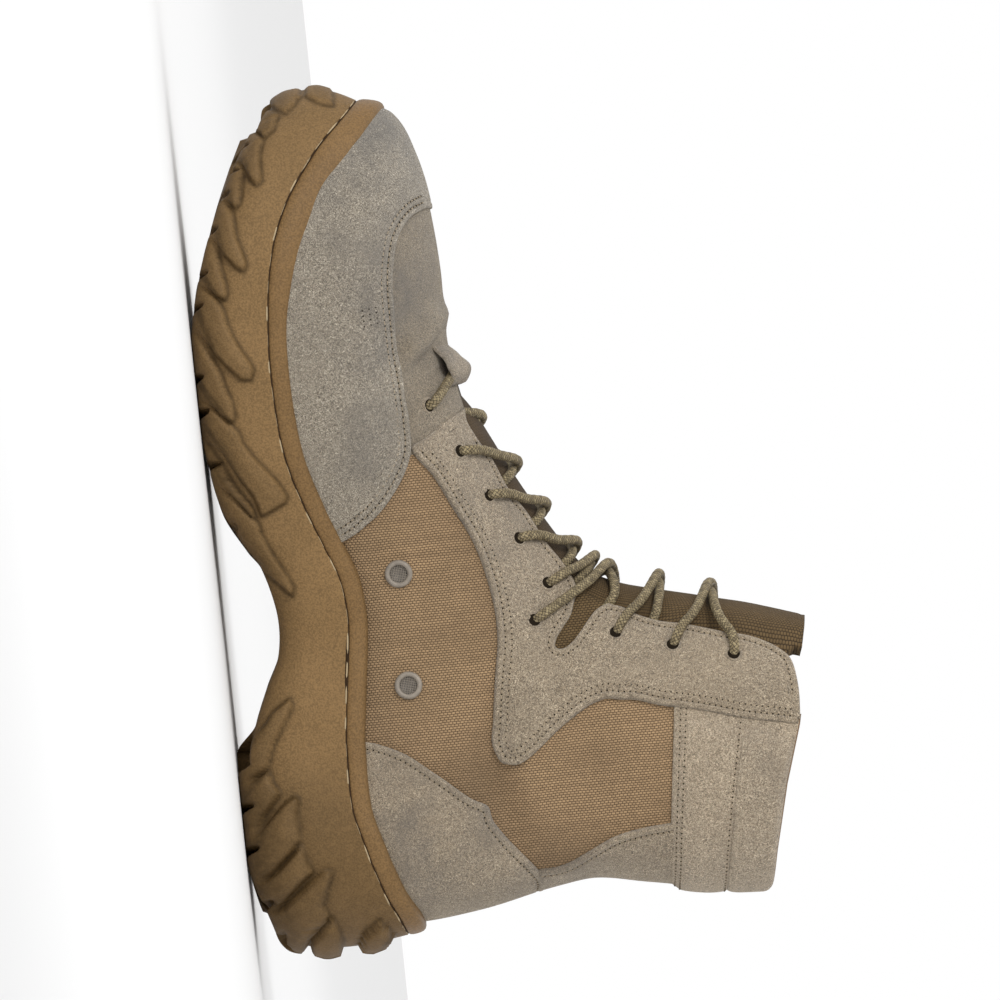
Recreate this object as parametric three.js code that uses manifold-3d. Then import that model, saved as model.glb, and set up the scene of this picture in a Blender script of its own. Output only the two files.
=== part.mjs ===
// Combat boot for the right foot, about 8 inches high, standing on its sole, in millimetres.
// X runs from the heel to the toe, Y to the inner (big-toe) side, Z up from the floor.
// The boot's own sizes are measured from the back of the heel; the last lines move the whole boot so
// that the origin is at the middle of its bottom.
import * as THREE from "three";
import { mergeVertices } from "three/addons/utils/BufferGeometryUtils.js";
import Module from "manifold-3d";

const wasm = await Module();
wasm.setup();

// Driving sizes
const soleLength = 312;
const wall = 2.8; // nylon, foam and lining of the upper
const gap = 0.35; // clearance kept between pieces that touch
const overlay = 1.7; // thickness of the suede overlays
const collarBulge = 3.4; // how far the padded collar stands out
const lugDepth = 4.5;
const laceThickness = 4;
const tongueThickness = 5;
const insoleThickness = 4;
const weltWidth = 6.2;

// Sections of the last's outer form, toe to collar. Each runs from a point on the front line (topX, topZ)
// to a point on the sole or back line (lowX, lowZ). width is its largest half-width, at the share belly of
// the way down; foot is the share of that width left at the low end; centre and ridge shift the low and top
// ends towards the inner side; crown is the exponent of the upper curve.
const sections = [
  { topX: 301.5, topZ: 76.5, lowX: 300, lowZ: 66.5, width: 8, belly: 0.6, foot: 0.9, centre: 7, ridge: 7, crown: 2.2 },
  { topX: 299.5, topZ: 80, lowX: 297.5, lowZ: 62, width: 17, belly: 0.62, foot: 0.92, centre: 7, ridge: 7, crown: 2.2 },
  { topX: 294.5, topZ: 83.5, lowX: 292, lowZ: 54, width: 26, belly: 0.64, foot: 0.94, centre: 6.5, ridge: 6.5, crown: 2.2 },
  { topX: 287, topZ: 86.3, lowX: 284, lowZ: 45, width: 34, belly: 0.66, foot: 0.95, centre: 6, ridge: 6, crown: 2.2 },
  { topX: 275.5, topZ: 89.2, lowX: 272, lowZ: 36, width: 41.5, belly: 0.68, foot: 0.95, centre: 5, ridge: 5.5, crown: 2.15 },
  { topX: 260, topZ: 91.2, lowX: 257, lowZ: 30.2, width: 46.5, belly: 0.7, foot: 0.95, centre: 4, ridge: 5, crown: 2.1 },
  { topX: 243, topZ: 92.3, lowX: 240, lowZ: 27.4, width: 49.5, belly: 0.71, foot: 0.95, centre: 3, ridge: 4.5, crown: 2.05 },
  { topX: 225, topZ: 92.4, lowX: 221, lowZ: 26, width: 50.5, belly: 0.72, foot: 0.95, centre: 1.5, ridge: 4, crown: 1.95 },
  { topX: 208, topZ: 93.4, lowX: 201, lowZ: 26.6, width: 50, belly: 0.72, foot: 0.95, centre: 0, ridge: 3.5, crown: 1.8 },
  { topX: 193, topZ: 98, lowX: 181, lowZ: 30.4, width: 47.5, belly: 0.72, foot: 0.94, centre: -1.5, ridge: 3, crown: 1.7 },
  { topX: 177, topZ: 105.3, lowX: 160, lowZ: 36, width: 44, belly: 0.7, foot: 0.92, centre: -3, ridge: 2, crown: 1.65 },
  { topX: 161, topZ: 113.3, lowX: 139, lowZ: 43.2, width: 40.5, belly: 0.68, foot: 0.9, centre: -4, ridge: 1, crown: 1.65 },
  { topX: 146, topZ: 122, lowX: 117, lowZ: 45.7, width: 38, belly: 0.66, foot: 0.9, centre: -4, ridge: 0.5, crown: 1.65 },
  { topX: 134, topZ: 130, lowX: 95, lowZ: 43, width: 37, belly: 0.64, foot: 0.92, centre: -3, ridge: 0, crown: 1.7 },
  { topX: 127, topZ: 137, lowX: 73, lowZ: 40.2, width: 36.8, belly: 0.62, foot: 0.94, centre: -2, ridge: 0, crown: 1.75 },
  { topX: 124, topZ: 143, lowX: 52, lowZ: 40.2, width: 36.6, belly: 0.6, foot: 0.94, centre: -1, ridge: 0, crown: 1.8 },
  { topX: 122.2, topZ: 148, lowX: 33, lowZ: 44.6, width: 36.2, belly: 0.58, foot: 0.9, centre: 0, ridge: 0, crown: 1.85 },
  { topX: 121, topZ: 152.3, lowX: 18, lowZ: 50.4, width: 36, belly: 0.56, foot: 0.7, centre: 0, ridge: 0, crown: 1.9 },
  { topX: 119.9, topZ: 156.3, lowX: 10.4, lowZ: 55, width: 35.8, belly: 0.54, foot: 0.42, centre: 0, ridge: 0, crown: 1.9 },
  { topX: 118.8, topZ: 160.3, lowX: 8.2, lowZ: 62, width: 35.6, belly: 0.53, foot: 0, centre: 0, ridge: 0, crown: 1.95 },
  { topX: 117.2, topZ: 166, lowX: 10.5, lowZ: 84, width: 35.6, belly: 0.52, foot: 0, centre: 0, ridge: 0, crown: 1.95 },
  { topX: 115, topZ: 173.5, lowX: 14.5, lowZ: 104, width: 36, belly: 0.5, foot: 0, centre: 0, ridge: 0, crown: 2 },
  { topX: 112.5, topZ: 181, lowX: 17.5, lowZ: 124, width: 36.8, belly: 0.5, foot: 0, centre: 0, ridge: 0, crown: 2 },
  { topX: 110, topZ: 188.5, lowX: 13.8, lowZ: 145, width: 37.8, belly: 0.5, foot: 0, centre: 0, ridge: 0, crown: 2 },
  { topX: 107, topZ: 196.5, lowX: 10, lowZ: 165, width: 38.6, belly: 0.5, foot: 0, centre: 0, ridge: 0, crown: 2 },
  { topX: 104, topZ: 204, lowX: 8.5, lowZ: 181, width: 39, belly: 0.5, foot: 0, centre: 0, ridge: 0, crown: 2 },
  { topX: 101, topZ: 211.5, lowX: 8, lowZ: 196, width: 39, belly: 0.5, foot: 0, centre: 0, ridge: 0, crown: 2 },
  { topX: 97.5, topZ: 219, lowX: 8, lowZ: 209, width: 39, belly: 0.5, foot: 0, centre: 0, ridge: 0, crown: 2 },
];
const firstBack = 19; // first section whose low end is on the back line, above the sole
const lastSection = sections.length - 1;

// Sole lines seen from the side: the tread that touches the floor, the body above the lugs, and the seam
// under the welt.
const soleLines = [
  { x: 0, tread: 7, body: 11, seam: 57.5 },
  { x: 10, tread: 5, body: 9.5, seam: 54.3 },
  { x: 20, tread: 2.2, body: 7.5, seam: 49 },
  { x: 32, tread: 0, body: 5.6, seam: 44.6 },
  { x: 50, tread: 0, body: 4.8, seam: 40 },
  { x: 74, tread: 0, body: 5.4, seam: 40.2 },
  { x: 84, tread: 2.6, body: 8, seam: 41.4 },
  { x: 97, tread: 11, body: 13.5, seam: 43.1 },
  { x: 108, tread: 21, body: 19, seam: 44.6 },
  { x: 120, tread: 23, body: 20.4, seam: 45.5 },
  { x: 134, tread: 20, body: 17.8, seam: 44.2 },
  { x: 146, tread: 12, body: 13.8, seam: 40.2 },
  { x: 160, tread: 4.5, body: 8.5, seam: 35.7 },
  { x: 176, tread: 1.4, body: 6, seam: 31.6 },
  { x: 189, tread: 0, body: 4.8, seam: 28.2 },
  { x: 210, tread: 0, body: 4.5, seam: 25.3 },
  { x: 224, tread: 0, body: 4.9, seam: 25.5 },
  { x: 242, tread: 3.4, body: 8, seam: 26.9 },
  { x: 258, tread: 8.2, body: 12.4, seam: 29.9 },
  { x: 272, tread: 13.4, body: 17.6, seam: 35.6 },
  { x: 286, tread: 19.6, body: 23.6, seam: 46.5 },
  { x: 298, tread: 25.8, body: 29.4, seam: 60.8 },
  { x: 312, tread: 33, body: 36, seam: 74 },
];

// Half-widths of the sole's outline from above, before its ends are rounded, and its centre line.
const solePlan = [
  { x: 0, inner: 41, outer: 42, centre: 0 },
  { x: 46, inner: 41.5, outer: 42.5, centre: 0 },
  { x: 80, inner: 38.5, outer: 43, centre: 0 },
  { x: 115, inner: 36.5, outer: 45.5, centre: 0 },
  { x: 150, inner: 43, outer: 50, centre: 0 },
  { x: 185, inner: 52, outer: 55, centre: 0 },
  { x: 215, inner: 56, outer: 56, centre: 0.5 },
  { x: 245, inner: 55.5, outer: 54.5, centre: 2 },
  { x: 280, inner: 54, outer: 52, centre: 5 },
  { x: 312, inner: 52, outer: 51, centre: 7 },
];
const heelRound = { start: 46, power: 2.3 };
const toeRound = { start: 222, power: 2.4 };

// Levels of the sole's sidewall: how far each is set in from the outline, and its share of the height.
const sidewall = [
  { inset: 15, rise: 0 },
  { inset: 5.5, rise: 0.06 },
  { inset: 1.6, rise: 0.26 },
  { inset: 0, rise: 0.52 },
  { inset: 2, rise: 0.82 },
  { inset: 4, rise: 1.12 },
];
const lugShell = [
  { inset: 14, rise: 0 },
  { inset: 3.5, rise: 0.03 },
  { inset: -0.8, rise: 0.2 },
  { inset: -1.6, rise: 0.42 },
  { inset: 3, rise: 0.66 },
];
const soleStations = 56;

// Rows of lugs. Each starts at a place along the floor and leans as it climbs the side.
const lugRows = [
  { name: "heel", first: -26, pitch: 16.5, count: 8, lean: 1.5, length: 10.5, sweep: 9 },
  { name: "forefoot", first: 150, pitch: 17.5, count: 13, lean: -1.7, length: 11, sweep: -9 },
];

// Side outlines, as x and z
const throatEdge = [
  [206, 99], [203.5, 91], [199, 92.2], [190, 96.6], [178, 101], [171, 104.6], [162, 108.6], [151, 115.4],
  [141, 120.2], [132, 125.4], [122, 129.6], [116, 133], [113.7, 138], [109.3, 150.7], [105.5, 165.6],
  [101.5, 180], [97.2, 194], [93.6, 200.2], [87.8, 203.6], [78, 205.8], [64.6, 205],
];
const collarEdge = [[43.5, 198.2], [20, 192.6], [8, 189.6], [-10, 187]];
const notch = [[124, 133], [121, 128.6], [111, 126.4], [103.6, 119.6], [100.2, 120.6], [101.4, 125], [108.4, 131.4], [112.6, 136.6], [116, 141]];
const eyestayEdge = [
  [63.9, 204], [68.6, 182.2], [71.9, 171.6], [74.6, 159.8], [77.1, 150.2], [80.4, 138], [78.4, 129], [72, 118.5],
  [65.5, 110.5], [60.8, 103.5], [60.4, 98], [65.6, 92.6], [76.4, 94.1], [90.8, 96.3], [101.6, 98.4], [112.5, 98.8],
  [131, 96.6], [144.3, 92.6], [155.9, 87.1], [168.6, 80.6], [177.5, 74.2], [181, 80], [186.4, 88.5], [190.5, 96.4],
];
const guardEdge = [
  [146.4, 45.6], [151.9, 55.5], [158.4, 63.5], [166.9, 69.9], [176.8, 73.3], [188.5, 72.2], [207.2, 69.8], [227.4, 69.4],
  [243.8, 71], [257, 75], [265.5, 81], [269.5, 87], [271, 97],
];
const counterEdge = [
  [74.5, 45.5], [72.6, 52], [66.8, 63], [59.8, 71.4], [50.1, 82.6], [40.1, 90.6], [29.8, 97.6], [22.4, 103.4], [19.4, 106], [-10, 106],
];
const backstayEdge = [[-10, 107], [20.4, 107], [21.4, 111.3], [25.8, 122.8], [30.4, 133.6], [32.6, 145.5], [33.3, 153.4]];
const collarLine = [[-10, 148.8], [11.7, 151.7], [33.3, 154.4], [74.4, 159.8]];
const weltHeight = 7.2;
const eyelets = [
  [192.7, 83], [174.9, 91.2], [157.8, 100.1], [141.1, 109.4], [123.7, 118.4], [111, 112.4], [102.9, 141.6],
  [96.5, 161.8], [90.8, 183.2],
];
const keeper = { from: 7.6, bar: 8.06, to: 8.45, reach: 0.07, barLift: 2.5, thickness: 1.5 };
const vents = { vent_front: [133.3, 65.7], vent_rear: [92.7, 65] };

const suede = new THREE.MeshStandardMaterial({ color: 0xa79a87, roughness: 0.95, metalness: 0 });
const nylon = new THREE.MeshStandardMaterial({ color: 0xa08562, roughness: 0.85, metalness: 0 });
const rubber = new THREE.MeshStandardMaterial({ color: 0x8b6f4b, roughness: 0.6, metalness: 0 });
const darkNylon = new THREE.MeshStandardMaterial({ color: 0x6e5c42, roughness: 0.85, metalness: 0 });
const cord = new THREE.MeshStandardMaterial({ color: 0x8d8060, roughness: 0.8, metalness: 0 });
const paintedMetal = new THREE.MeshStandardMaterial({ color: 0x85796b, roughness: 0.5, metalness: 0.4 });
const foam = new THREE.MeshStandardMaterial({ color: 0x4a4338, roughness: 0.95, metalness: 0 });

// ---- curves and tables ----

// Smooth value of a table's column at a fractional row, by the Catmull-Rom rule.
function atRow(table, column, row) {
  const last = table.length - 1;
  const i = Math.min(Math.max(Math.floor(row), 0), last - 1);
  const t = row - i;
  const value = (k) => table[Math.min(Math.max(k, 0), last)][column];
  const [a, b, c, d] = [value(i - 1), value(i), value(i + 1), value(i + 2)];
  const slopeB = (c - a) / 2;
  const slopeC = (d - b) / 2;
  const t2 = t * t;
  const t3 = t2 * t;
  return (2 * t3 - 3 * t2 + 1) * b + (t3 - 2 * t2 + t) * slopeB + (3 * t2 - 2 * t3) * c + (t3 - t2) * slopeC;
}

// Value of a table's column at a place x, where the table has an x column that grows.
function atX(table, column, x) {
  const last = table.length - 1;
  if (x <= table[0].x) return table[0][column];
  if (x >= table[last].x) return table[last][column];
  const i = table.findIndex((row) => row.x > x) - 1;
  return atRow(table, column, i + (x - table[i].x) / (table[i + 1].x - table[i].x));
}

// ---- the last's form ----

// A point of the form. s is the section, v runs from -1 at the outer low edge over 0 at the ridge to 1 at the
// inner low edge.
function formPoint(s, v) {
  const get = (column) => atRow(sections, column, s);
  const side = Math.sign(v);
  const share = Math.min(Math.abs(v), 1);
  const [belly, foot, crown] = [get("belly"), Math.max(get("foot"), 0), get("crown")];
  const lowPower = 2.4;
  let down;
  let out;
  if (share <= 0.5) {
    const angle = share * Math.PI;
    down = belly * (1 - Math.max(Math.cos(angle), 0) ** (2 / crown));
    out = Math.sin(angle) ** (2 / crown);
  } else {
    const tuck = 1 - foot ** lowPower;
    const angle = (share - 0.5) * 2 * Math.asin(Math.sqrt(tuck));
    down = belly + (1 - belly) * (Math.sin(angle) ** 2 / tuck) ** (1 / lowPower);
    out = Math.max(1 - Math.sin(angle) ** 2, 0) ** (1 / lowPower);
  }
  const middle = get("ridge") + (get("centre") - get("ridge")) * down;
  return new THREE.Vector3(
    get("topX") + (get("lowX") - get("topX")) * down,
    middle + side * get("width") * out,
    get("topZ") + (get("lowZ") - get("topZ")) * down,
  );
}

// The form's outward normal, from small steps along s and v.
function formNormal(s, v) {
  const step = 0.02;
  const inside = (value, limit) => Math.min(Math.max(value, -limit), limit);
  const along = formPoint(Math.min(s + step, lastSection), v).sub(formPoint(Math.max(s - step, 0), v));
  const around = formPoint(s, inside(v + step, 1)).sub(formPoint(s, inside(v - step, 1)));
  return around.cross(along).normalize();
}

// A point of the form moved out by a distance. On the ridge and the back line the normal stays in the middle
// plane, so that both sides meet.
function offsetPoint(s, v, distance) {
  const normal = formNormal(s, v);
  const onBack = Math.abs(v) > 0.999 && s >= firstBack;
  if (Math.abs(v) < 1e-6 || onBack) {
    normal.y = 0;
    normal.normalize();
  }
  return formPoint(s, v).addScaledVector(normal, distance);
}

// The section and v of the form's point at x and z seen from the side.
function onSide(x, z) {
  const miss = (s) => {
    const [tx, tz, lx, lz] = ["topX", "topZ", "lowX", "lowZ"].map((column) => atRow(sections, column, s));
    return (tx - lx) * (z - lz) - (tz - lz) * (x - lx);
  };
  let low = 0;
  let high = lastSection;
  for (let i = 0; i < 40; i++) {
    const middle = (low + high) / 2;
    if (miss(low) * miss(middle) <= 0) high = middle;
    else low = middle;
  }
  const s = (low + high) / 2;
  let [near, far] = [0, 1];
  for (let i = 0; i < 40; i++) {
    const v = (near + far) / 2;
    const p = formPoint(s, v);
    const top = formPoint(s, 0);
    const reach = Math.hypot(p.x - top.x, p.z - top.z);
    if (reach < Math.hypot(x - top.x, z - top.z)) near = v;
    else far = v;
  }
  return { s, v: (near + far) / 2 };
}

// ---- solids ----

function solidOf(geometry) {
  const bare = new THREE.BufferGeometry().setAttribute("position", geometry.getAttribute("position"));
  if (geometry.index) bare.setIndex(geometry.index);
  const merged = mergeVertices(bare, 1e-3);
  const triVerts = new Uint32Array(merged.index.array);
  return new wasm.Manifold(new wasm.Mesh({ numProp: 3, vertProperties: merged.attributes.position.array, triVerts }));
}

function geometryOf(solid) {
  const mesh = solid.getMesh();
  const places = new Float32Array(mesh.numVert * 3);
  for (let i = 0; i < mesh.numVert; i++) {
    places.set(mesh.vertProperties.subarray(i * mesh.numProp, i * mesh.numProp + 3), i * 3);
  }
  const geometry = new THREE.BufferGeometry();
  geometry.setAttribute("position", new THREE.BufferAttribute(places, 3));
  geometry.setIndex(new THREE.BufferAttribute(mesh.triVerts, 1));
  geometry.computeVertexNormals();
  return geometry;
}

// A closed solid through rings of points, each ring with the same count, with flat ends.
function loft(rings, ringIsClosed = false) {
  const positions = rings.flat().flatMap((p) => [p.x, p.y, p.z]);
  const count = rings[0].length;
  const index = [];
  const triangle = (a, b, c) => {
    const [p, q, r] = [a, b, c].map((k) => new THREE.Vector3().fromArray(positions, k * 3));
    if (p.distanceTo(q) > 2e-3 && q.distanceTo(r) > 2e-3 && r.distanceTo(p) > 2e-3) index.push(a, b, c);
  };
  const steps = ringIsClosed ? rings.length : rings.length - 1;
  for (let i = 0; i < steps; i++) {
    for (let k = 0; k < count; k++) {
      const [a, b] = [i * count + k, i * count + ((k + 1) % count)];
      const next = ((i + 1) % rings.length) * count;
      const [c, d] = [next + ((k + 1) % count), next + k];
      triangle(a, b, c);
      triangle(a, c, d);
    }
  }
  if (!ringIsClosed) {
    for (let k = 0; k < (count - 1) / 2; k++) {
      const last = (rings.length - 1) * count;
      const [a, b, c, d] = [k, k + 1, count - 2 - k, count - 1 - k];
      triangle(a, c, b);
      triangle(a, d, c);
      triangle(last + a, last + b, last + c);
      triangle(last + a, last + c, last + d);
    }
  }
  const geometry = new THREE.BufferGeometry();
  geometry.setAttribute("position", new THREE.Float32BufferAttribute(positions, 3));
  geometry.setIndex(index);
  const solid = solidOf(geometry);
  if (solid.volume() >= 0) return solid;
  const turned = [];
  for (let i = 0; i < index.length; i += 3) turned.push(index[i], index[i + 2], index[i + 1]);
  geometry.setIndex(turned);
  return solidOf(geometry);
}

// The prism that a side outline makes from low to high y.
function sidePrism(outline, low = -90, high = 90) {
  const shape = new THREE.Shape(outline.map(([x, z]) => new THREE.Vector2(x, z)));
  const geometry = new THREE.ExtrudeGeometry(shape, { depth: high - low, bevelEnabled: false });
  geometry.rotateX(Math.PI / 2);
  geometry.translate(0, high, 0);
  return solidOf(geometry);
}

const ringHalf = [0, 0.07, 0.14, 0.21, 0.28, 0.35, 0.43, 0.52, 0.62, 0.74, 0.86, 1];

// The whole form, moved out by a distance and closed below. drop lowers its underside, to open a hollow.
function formSolid(distance, drop = 0) {
  const ring = (s) => {
    const half = (side) => ringHalf.map((v) => offsetPoint(s, side * v, distance));
    const inner = half(1);
    const outer = half(-1);
    const fall = drop * (s < firstBack - 1 ? 1 : 0);
    const under = (p) => p.clone().add(new THREE.Vector3(0, 0, -fall));
    return [under(outer.at(-1)), ...outer.slice(1).reverse(), ...inner, under(inner.at(-1))];
  };
  return loft(sections.map((_, s) => ring(s)));
}

const seamZ = (x) => atX(soleLines, "seam", x);
const sideStations = Array.from({ length: 40 }, (_, i) => (i * soleLength) / 39);
const seamLine = (lift) => sideStations.map((x) => [x, seamZ(x) + lift]);
const belowSeam = (lift) => [[-20, seamZ(0) + lift], ...seamLine(lift), [330, seamZ(312) + lift + 20], [330, -60], [-20, -60]];
const aboveThroat = [...throatEdge, ...collarEdge, [-40, 260], [240, 260], [240, 120]];

function makeUpper() {
  const shell = formSolid(0).subtract(formSolid(-wall, 12));
  return shell.subtract(sidePrism(aboveThroat)).subtract(sidePrism(belowSeam(gap)));
}

// An overlay of the suede kind: the form's skin between two distances, inside a side outline.
const skinInner = formSolid(gap);
function overlaySolid(outline, thickness = overlay) {
  return formSolid(gap + thickness).subtract(skinInner).intersect(sidePrism(outline)).subtract(sidePrism(belowSeam(weltHeight + gap)));
}

function makeToeGuard() {
  return overlaySolid([...guardEdge, [330, 110], [330, 20], [146, 20]]);
}

function makeHeelCounter() {
  return overlaySolid([...counterEdge, [-10, 20], [76, 20]]);
}

function makeBackstay() {
  return overlaySolid([...backstayEdge, [33.3, 154], [11.7, 151.2], [-10, 148.4]]);
}

// The padded collar, with two soft rolls.
function makeCollar() {
  const top = [[63.2, 204], [43.5, 197.4], [20, 191.8], [8, 188.8], [-10, 186.2]];
  const front = [[73.7, 160.4], [71, 171.6], [67.7, 182.2]];
  const foot = collarLine.slice(0, 3).map(([x, z]) => [x, z + 0.6]);
  const band = overlaySolid([...front, ...top, ...foot], collarBulge);
  const roll = sidePrism([[-10, 149], [120, 165], [120, 172], [-10, 152]]);
  return band.subtract(roll.intersect(formSolid(gap + collarBulge + 4).subtract(formSolid(gap + collarBulge - 1.4))));
}

function makeEyestay(side) {
  const cut = side > 0 ? [0, 90] : [-90, 0];
  const outline = [...eyestayEdge, ...throatEdge.slice(4, 20)];
  return overlaySolid(outline).intersect(sidePrism([[0, 0], [330, 0], [330, 260], [0, 260]], ...cut)).subtract(sidePrism(notch));
}

// A patch of the form between two distances, over a range of sections and to v on both sides.
function patch(from, to, steps, reach, low, high, columns = 10) {
  const rings = [];
  for (let i = 0; i <= steps; i++) {
    const s = from + ((to - from) * i) / steps;
    const width = reach(s);
    const row = (distance) =>
      Array.from({ length: columns + 1 }, (_, k) => {
        const v = width * ((2 * k) / columns - 1);
        return offsetPoint(s, v, distance(s, v));
      });
    rings.push([...row(high), ...row(low).reverse()]);
  }
  return loft(rings);
}

// The tongue lies under both eyestays and swells up between them.
function makeTongue() {
  const edge = { base: 8.3, full: 9.6 };
  const halfGap = 0.2;
  const swell = (s, v) => {
    const across = Math.min(Math.max((halfGap - Math.abs(v)) / 0.09, 0), 1);
    const along = Math.min(Math.max((s - edge.base) / (edge.full - edge.base), 0), 1);
    return (wall + 0.2) * across * along;
  };
  const low = (s, v) => -wall - 0.5 - tongueThickness + 0.6 * swell(s, v);
  const high = (s, v) => -wall - 0.5 + swell(s, v);
  const pad = patch(7.6, 26.1, 20, () => 0.36, low, high, 12);
  const throat = sidePrism(aboveThroat.map(([x, z]) => [x + 0.5, z + 0.75]));
  return pad.intersect(formSolid(-wall - gap).add(throat));
}

function makeInsole() {
  const bed = formSolid(-wall - gap, 12);
  const slab = sidePrism([...seamLine(insoleThickness + gap), [330, 20], [-20, 20]]).subtract(sidePrism(belowSeam(gap)));
  return bed.intersect(slab).intersect(sidePrism([[12, 0], [296, 0], [296, 200], [12, 200]]));
}

// ---- the sole ----

const planShare = (x, end, limit) => Math.max(1 - Math.min(Math.abs((x - end.start) / (limit - end.start)), 1) ** end.power, 0) ** 0.5;

// The sole's outline from above, at a share of the way round from the heel, along the inner side first.
function outlinePoint(share) {
  const x = (soleLength / 2) * (1 - Math.cos(share * 2 * Math.PI));
  const side = share <= 0.5 ? "inner" : "outer";
  let half = atX(solePlan, side, x);
  if (x < heelRound.start) half *= planShare(x, heelRound, 0);
  if (x > toeRound.start) half *= planShare(x, toeRound, soleLength);
  return new THREE.Vector2(x, atX(solePlan, "centre", x) + (side === "inner" ? half : -half));
}

// One point of a sidewall level: the outline moved inwards, at its share of the height.
function soleLevel(share, { inset, rise }, lowLine) {
  const here = outlinePoint(share);
  const step = 0.004;
  const way = outlinePoint((share + step) % 1).sub(outlinePoint((share - step + 1) % 1)).normalize();
  const low = Math.max(atX(soleLines, lowLine, here.x), 0);
  return new THREE.Vector3(here.x + way.y * inset, here.y - way.x * inset, low + (seamZ(here.x) - low) * rise);
}

function soleBody(levels, lowLine) {
  const rings = levels.map((level) =>
    Array.from({ length: soleStations }, (_, k) => soleLevel(k / soleStations, level, lowLine)),
  );
  return stackedRings(rings);
}

// A solid from closed rings stacked upwards. Its flat ends are stitched from side to side.
function stackedRings(rings) {
  const count = rings[0].length;
  const positions = rings.flat().flatMap((p) => [p.x, p.y, p.z]);
  const index = [];
  for (let i = 0; i + 1 < rings.length; i++) {
    for (let k = 0; k < count; k++) {
      const [a, b] = [i * count + k, i * count + ((k + 1) % count)];
      index.push(a, b + count, b, a, a + count, b + count);
    }
  }
  const cap = (base, flip) => {
    for (let k = 0; k < count / 2; k++) {
      const [a, b] = [k, k + 1];
      const [c, d] = [count - 1 - k, (count - k) % count];
      const faces = d === a ? [[a, b, c]] : c === b ? [[a, b, d]] : [[a, b, c], [a, c, d]];
      for (const [p, q, r] of faces) {
        if (p === q || q === r || p === r) continue;
        index.push(base + p, base + (flip ? r : q), base + (flip ? q : r));
      }
    }
  };
  cap(0, false);
  cap((rings.length - 1) * count, true);
  const geometry = new THREE.BufferGeometry();
  geometry.setAttribute("position", new THREE.Float32BufferAttribute(positions, 3));
  geometry.setIndex(index);
  const solid = solidOf(geometry);
  if (solid.volume() >= 0) return solid;
  geometry.setIndex(index.map((_, i) => index[i - (i % 3) + [0, 2, 1][i % 3]]));
  return solidOf(geometry);
}

// A solid without the crumbs that a cut leaves beside it.
function largestBody(solid) {
  return solid.decompose().reduce((best, part) => (part.volume() > best.volume() ? part : best));
}

// A leaning prism over a plan outline, from below the floor up the side of the sole.
function leaningLug(corners, lean) {
  const height = 34;
  const start = -1;
  const at = (z) => corners.map(([x, y]) => new THREE.Vector3(x + lean * z, y, z));
  return stackedRings([at(start), at(height)]);
}

function makeOutsole() {
  let lugs = null;
  for (const { first, pitch, count, lean, length, sweep } of lugRows) {
    for (let i = 0; i < count; i++) {
      const x = first + i * pitch;
      const side = (y0, y1) => [[x, y0], [x + length, y0], [x + length + sweep, y1], [x + sweep, y1]];
      const middle = x + sweep + pitch / 2;
      const plans = [
        side(70, 15),
        side(-70, -15),
        [[middle, 10], [middle + length * 0.8, 0], [middle, -10], [middle - length * 0.8, 0]],
      ];
      for (const plan of plans) {
        const lug = leaningLug(plan, lean);
        lugs = lugs ? lugs.add(lug) : lug;
      }
    }
  }
  const body = soleBody(sidewall, "body");
  const shell = soleBody(lugShell, "tread");
  const above = [[-20, seamZ(0)], ...seamLine(0), [330, seamZ(312) + 20], [330, 200], [-20, 200]];
  return largestBody(body.add(lugs.intersect(shell)).subtract(sidePrism(above)));
}

// The welt: a rounded strip round the foot of the upper, on the sole's top edge.
function makeWelt() {
  const around = [];
  for (let s = 0; s < firstBack; s++) around.push([s, 1]);
  for (let s = firstBack; s >= 0; s--) around.push([s, -1]);
  const centre = new THREE.Vector2(150, 0);
  const profile = [
    { out: -2, rise: 0 }, { out: weltWidth - 1.2, rise: 0 }, { out: weltWidth, rise: 0.3 },
    { out: weltWidth - 0.6, rise: 0.75 }, { out: weltWidth - 2.4, rise: 1 }, { out: -2, rise: 1 },
  ];
  const places = around.map(([s, v]) => formPoint(s, v));
  const rings = places.map((p, i) => {
    const next = places[(i + 1) % places.length];
    const before = places[(i - 1 + places.length) % places.length];
    const way = new THREE.Vector2(next.x - before.x, next.y - before.y).normalize();
    const outward = new THREE.Vector2(-way.y, way.x);
    if (outward.dot(new THREE.Vector2(p.x, p.y).sub(centre)) < 0) outward.negate();
    const foot = seamZ(p.x);
    return profile.map(({ out, rise }) => new THREE.Vector3(p.x + outward.x * out, p.y + outward.y * out, foot + rise * weltHeight));
  });
  const strip = loft(rings, true);
  return strip.subtract(skinInner).subtract(sidePrism(belowSeam(gap))).intersect(sidePrism(belowSeam(weltHeight)));
}

// ---- small parts ----

// A drain vent: a rim round a sunk screen, seated on the wall.
function makeVent([x, z]) {
  const { s, v } = onSide(x, z);
  const profile = [[0, 0], [5.4, 0], [5.4, 0.9], [4.6, 1.5], [3.9, 1.3], [3.5, 0.7], [0, 0.7]];
  const geometry = new THREE.LatheGeometry(profile.map(([r, h]) => new THREE.Vector2(r, h)), 16);
  const seat = offsetPoint(s, v, gap + 0.35);
  const turn = new THREE.Quaternion().setFromUnitVectors(new THREE.Vector3(0, 1, 0), formNormal(s, v));
  return { geometry, seat, turn };
}

// A round cord through points.
function cordSolid(points) {
  const sides = 5;
  const section = new THREE.Shape(
    Array.from({ length: sides }, (_, k) => {
      const angle = (k * 2 * Math.PI) / sides;
      return new THREE.Vector2((laceThickness / 2) * Math.cos(angle), (laceThickness / 2) * Math.sin(angle));
    }),
  );
  const path = new THREE.CatmullRomCurve3(points);
  const geometry = new THREE.ExtrudeGeometry(section, { steps: 8, bevelEnabled: false, extrudePath: path });
  const solid = solidOf(geometry);
  return solid;
}

const laceLift = laceThickness / 2 + overlay + gap + 0.6;

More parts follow.
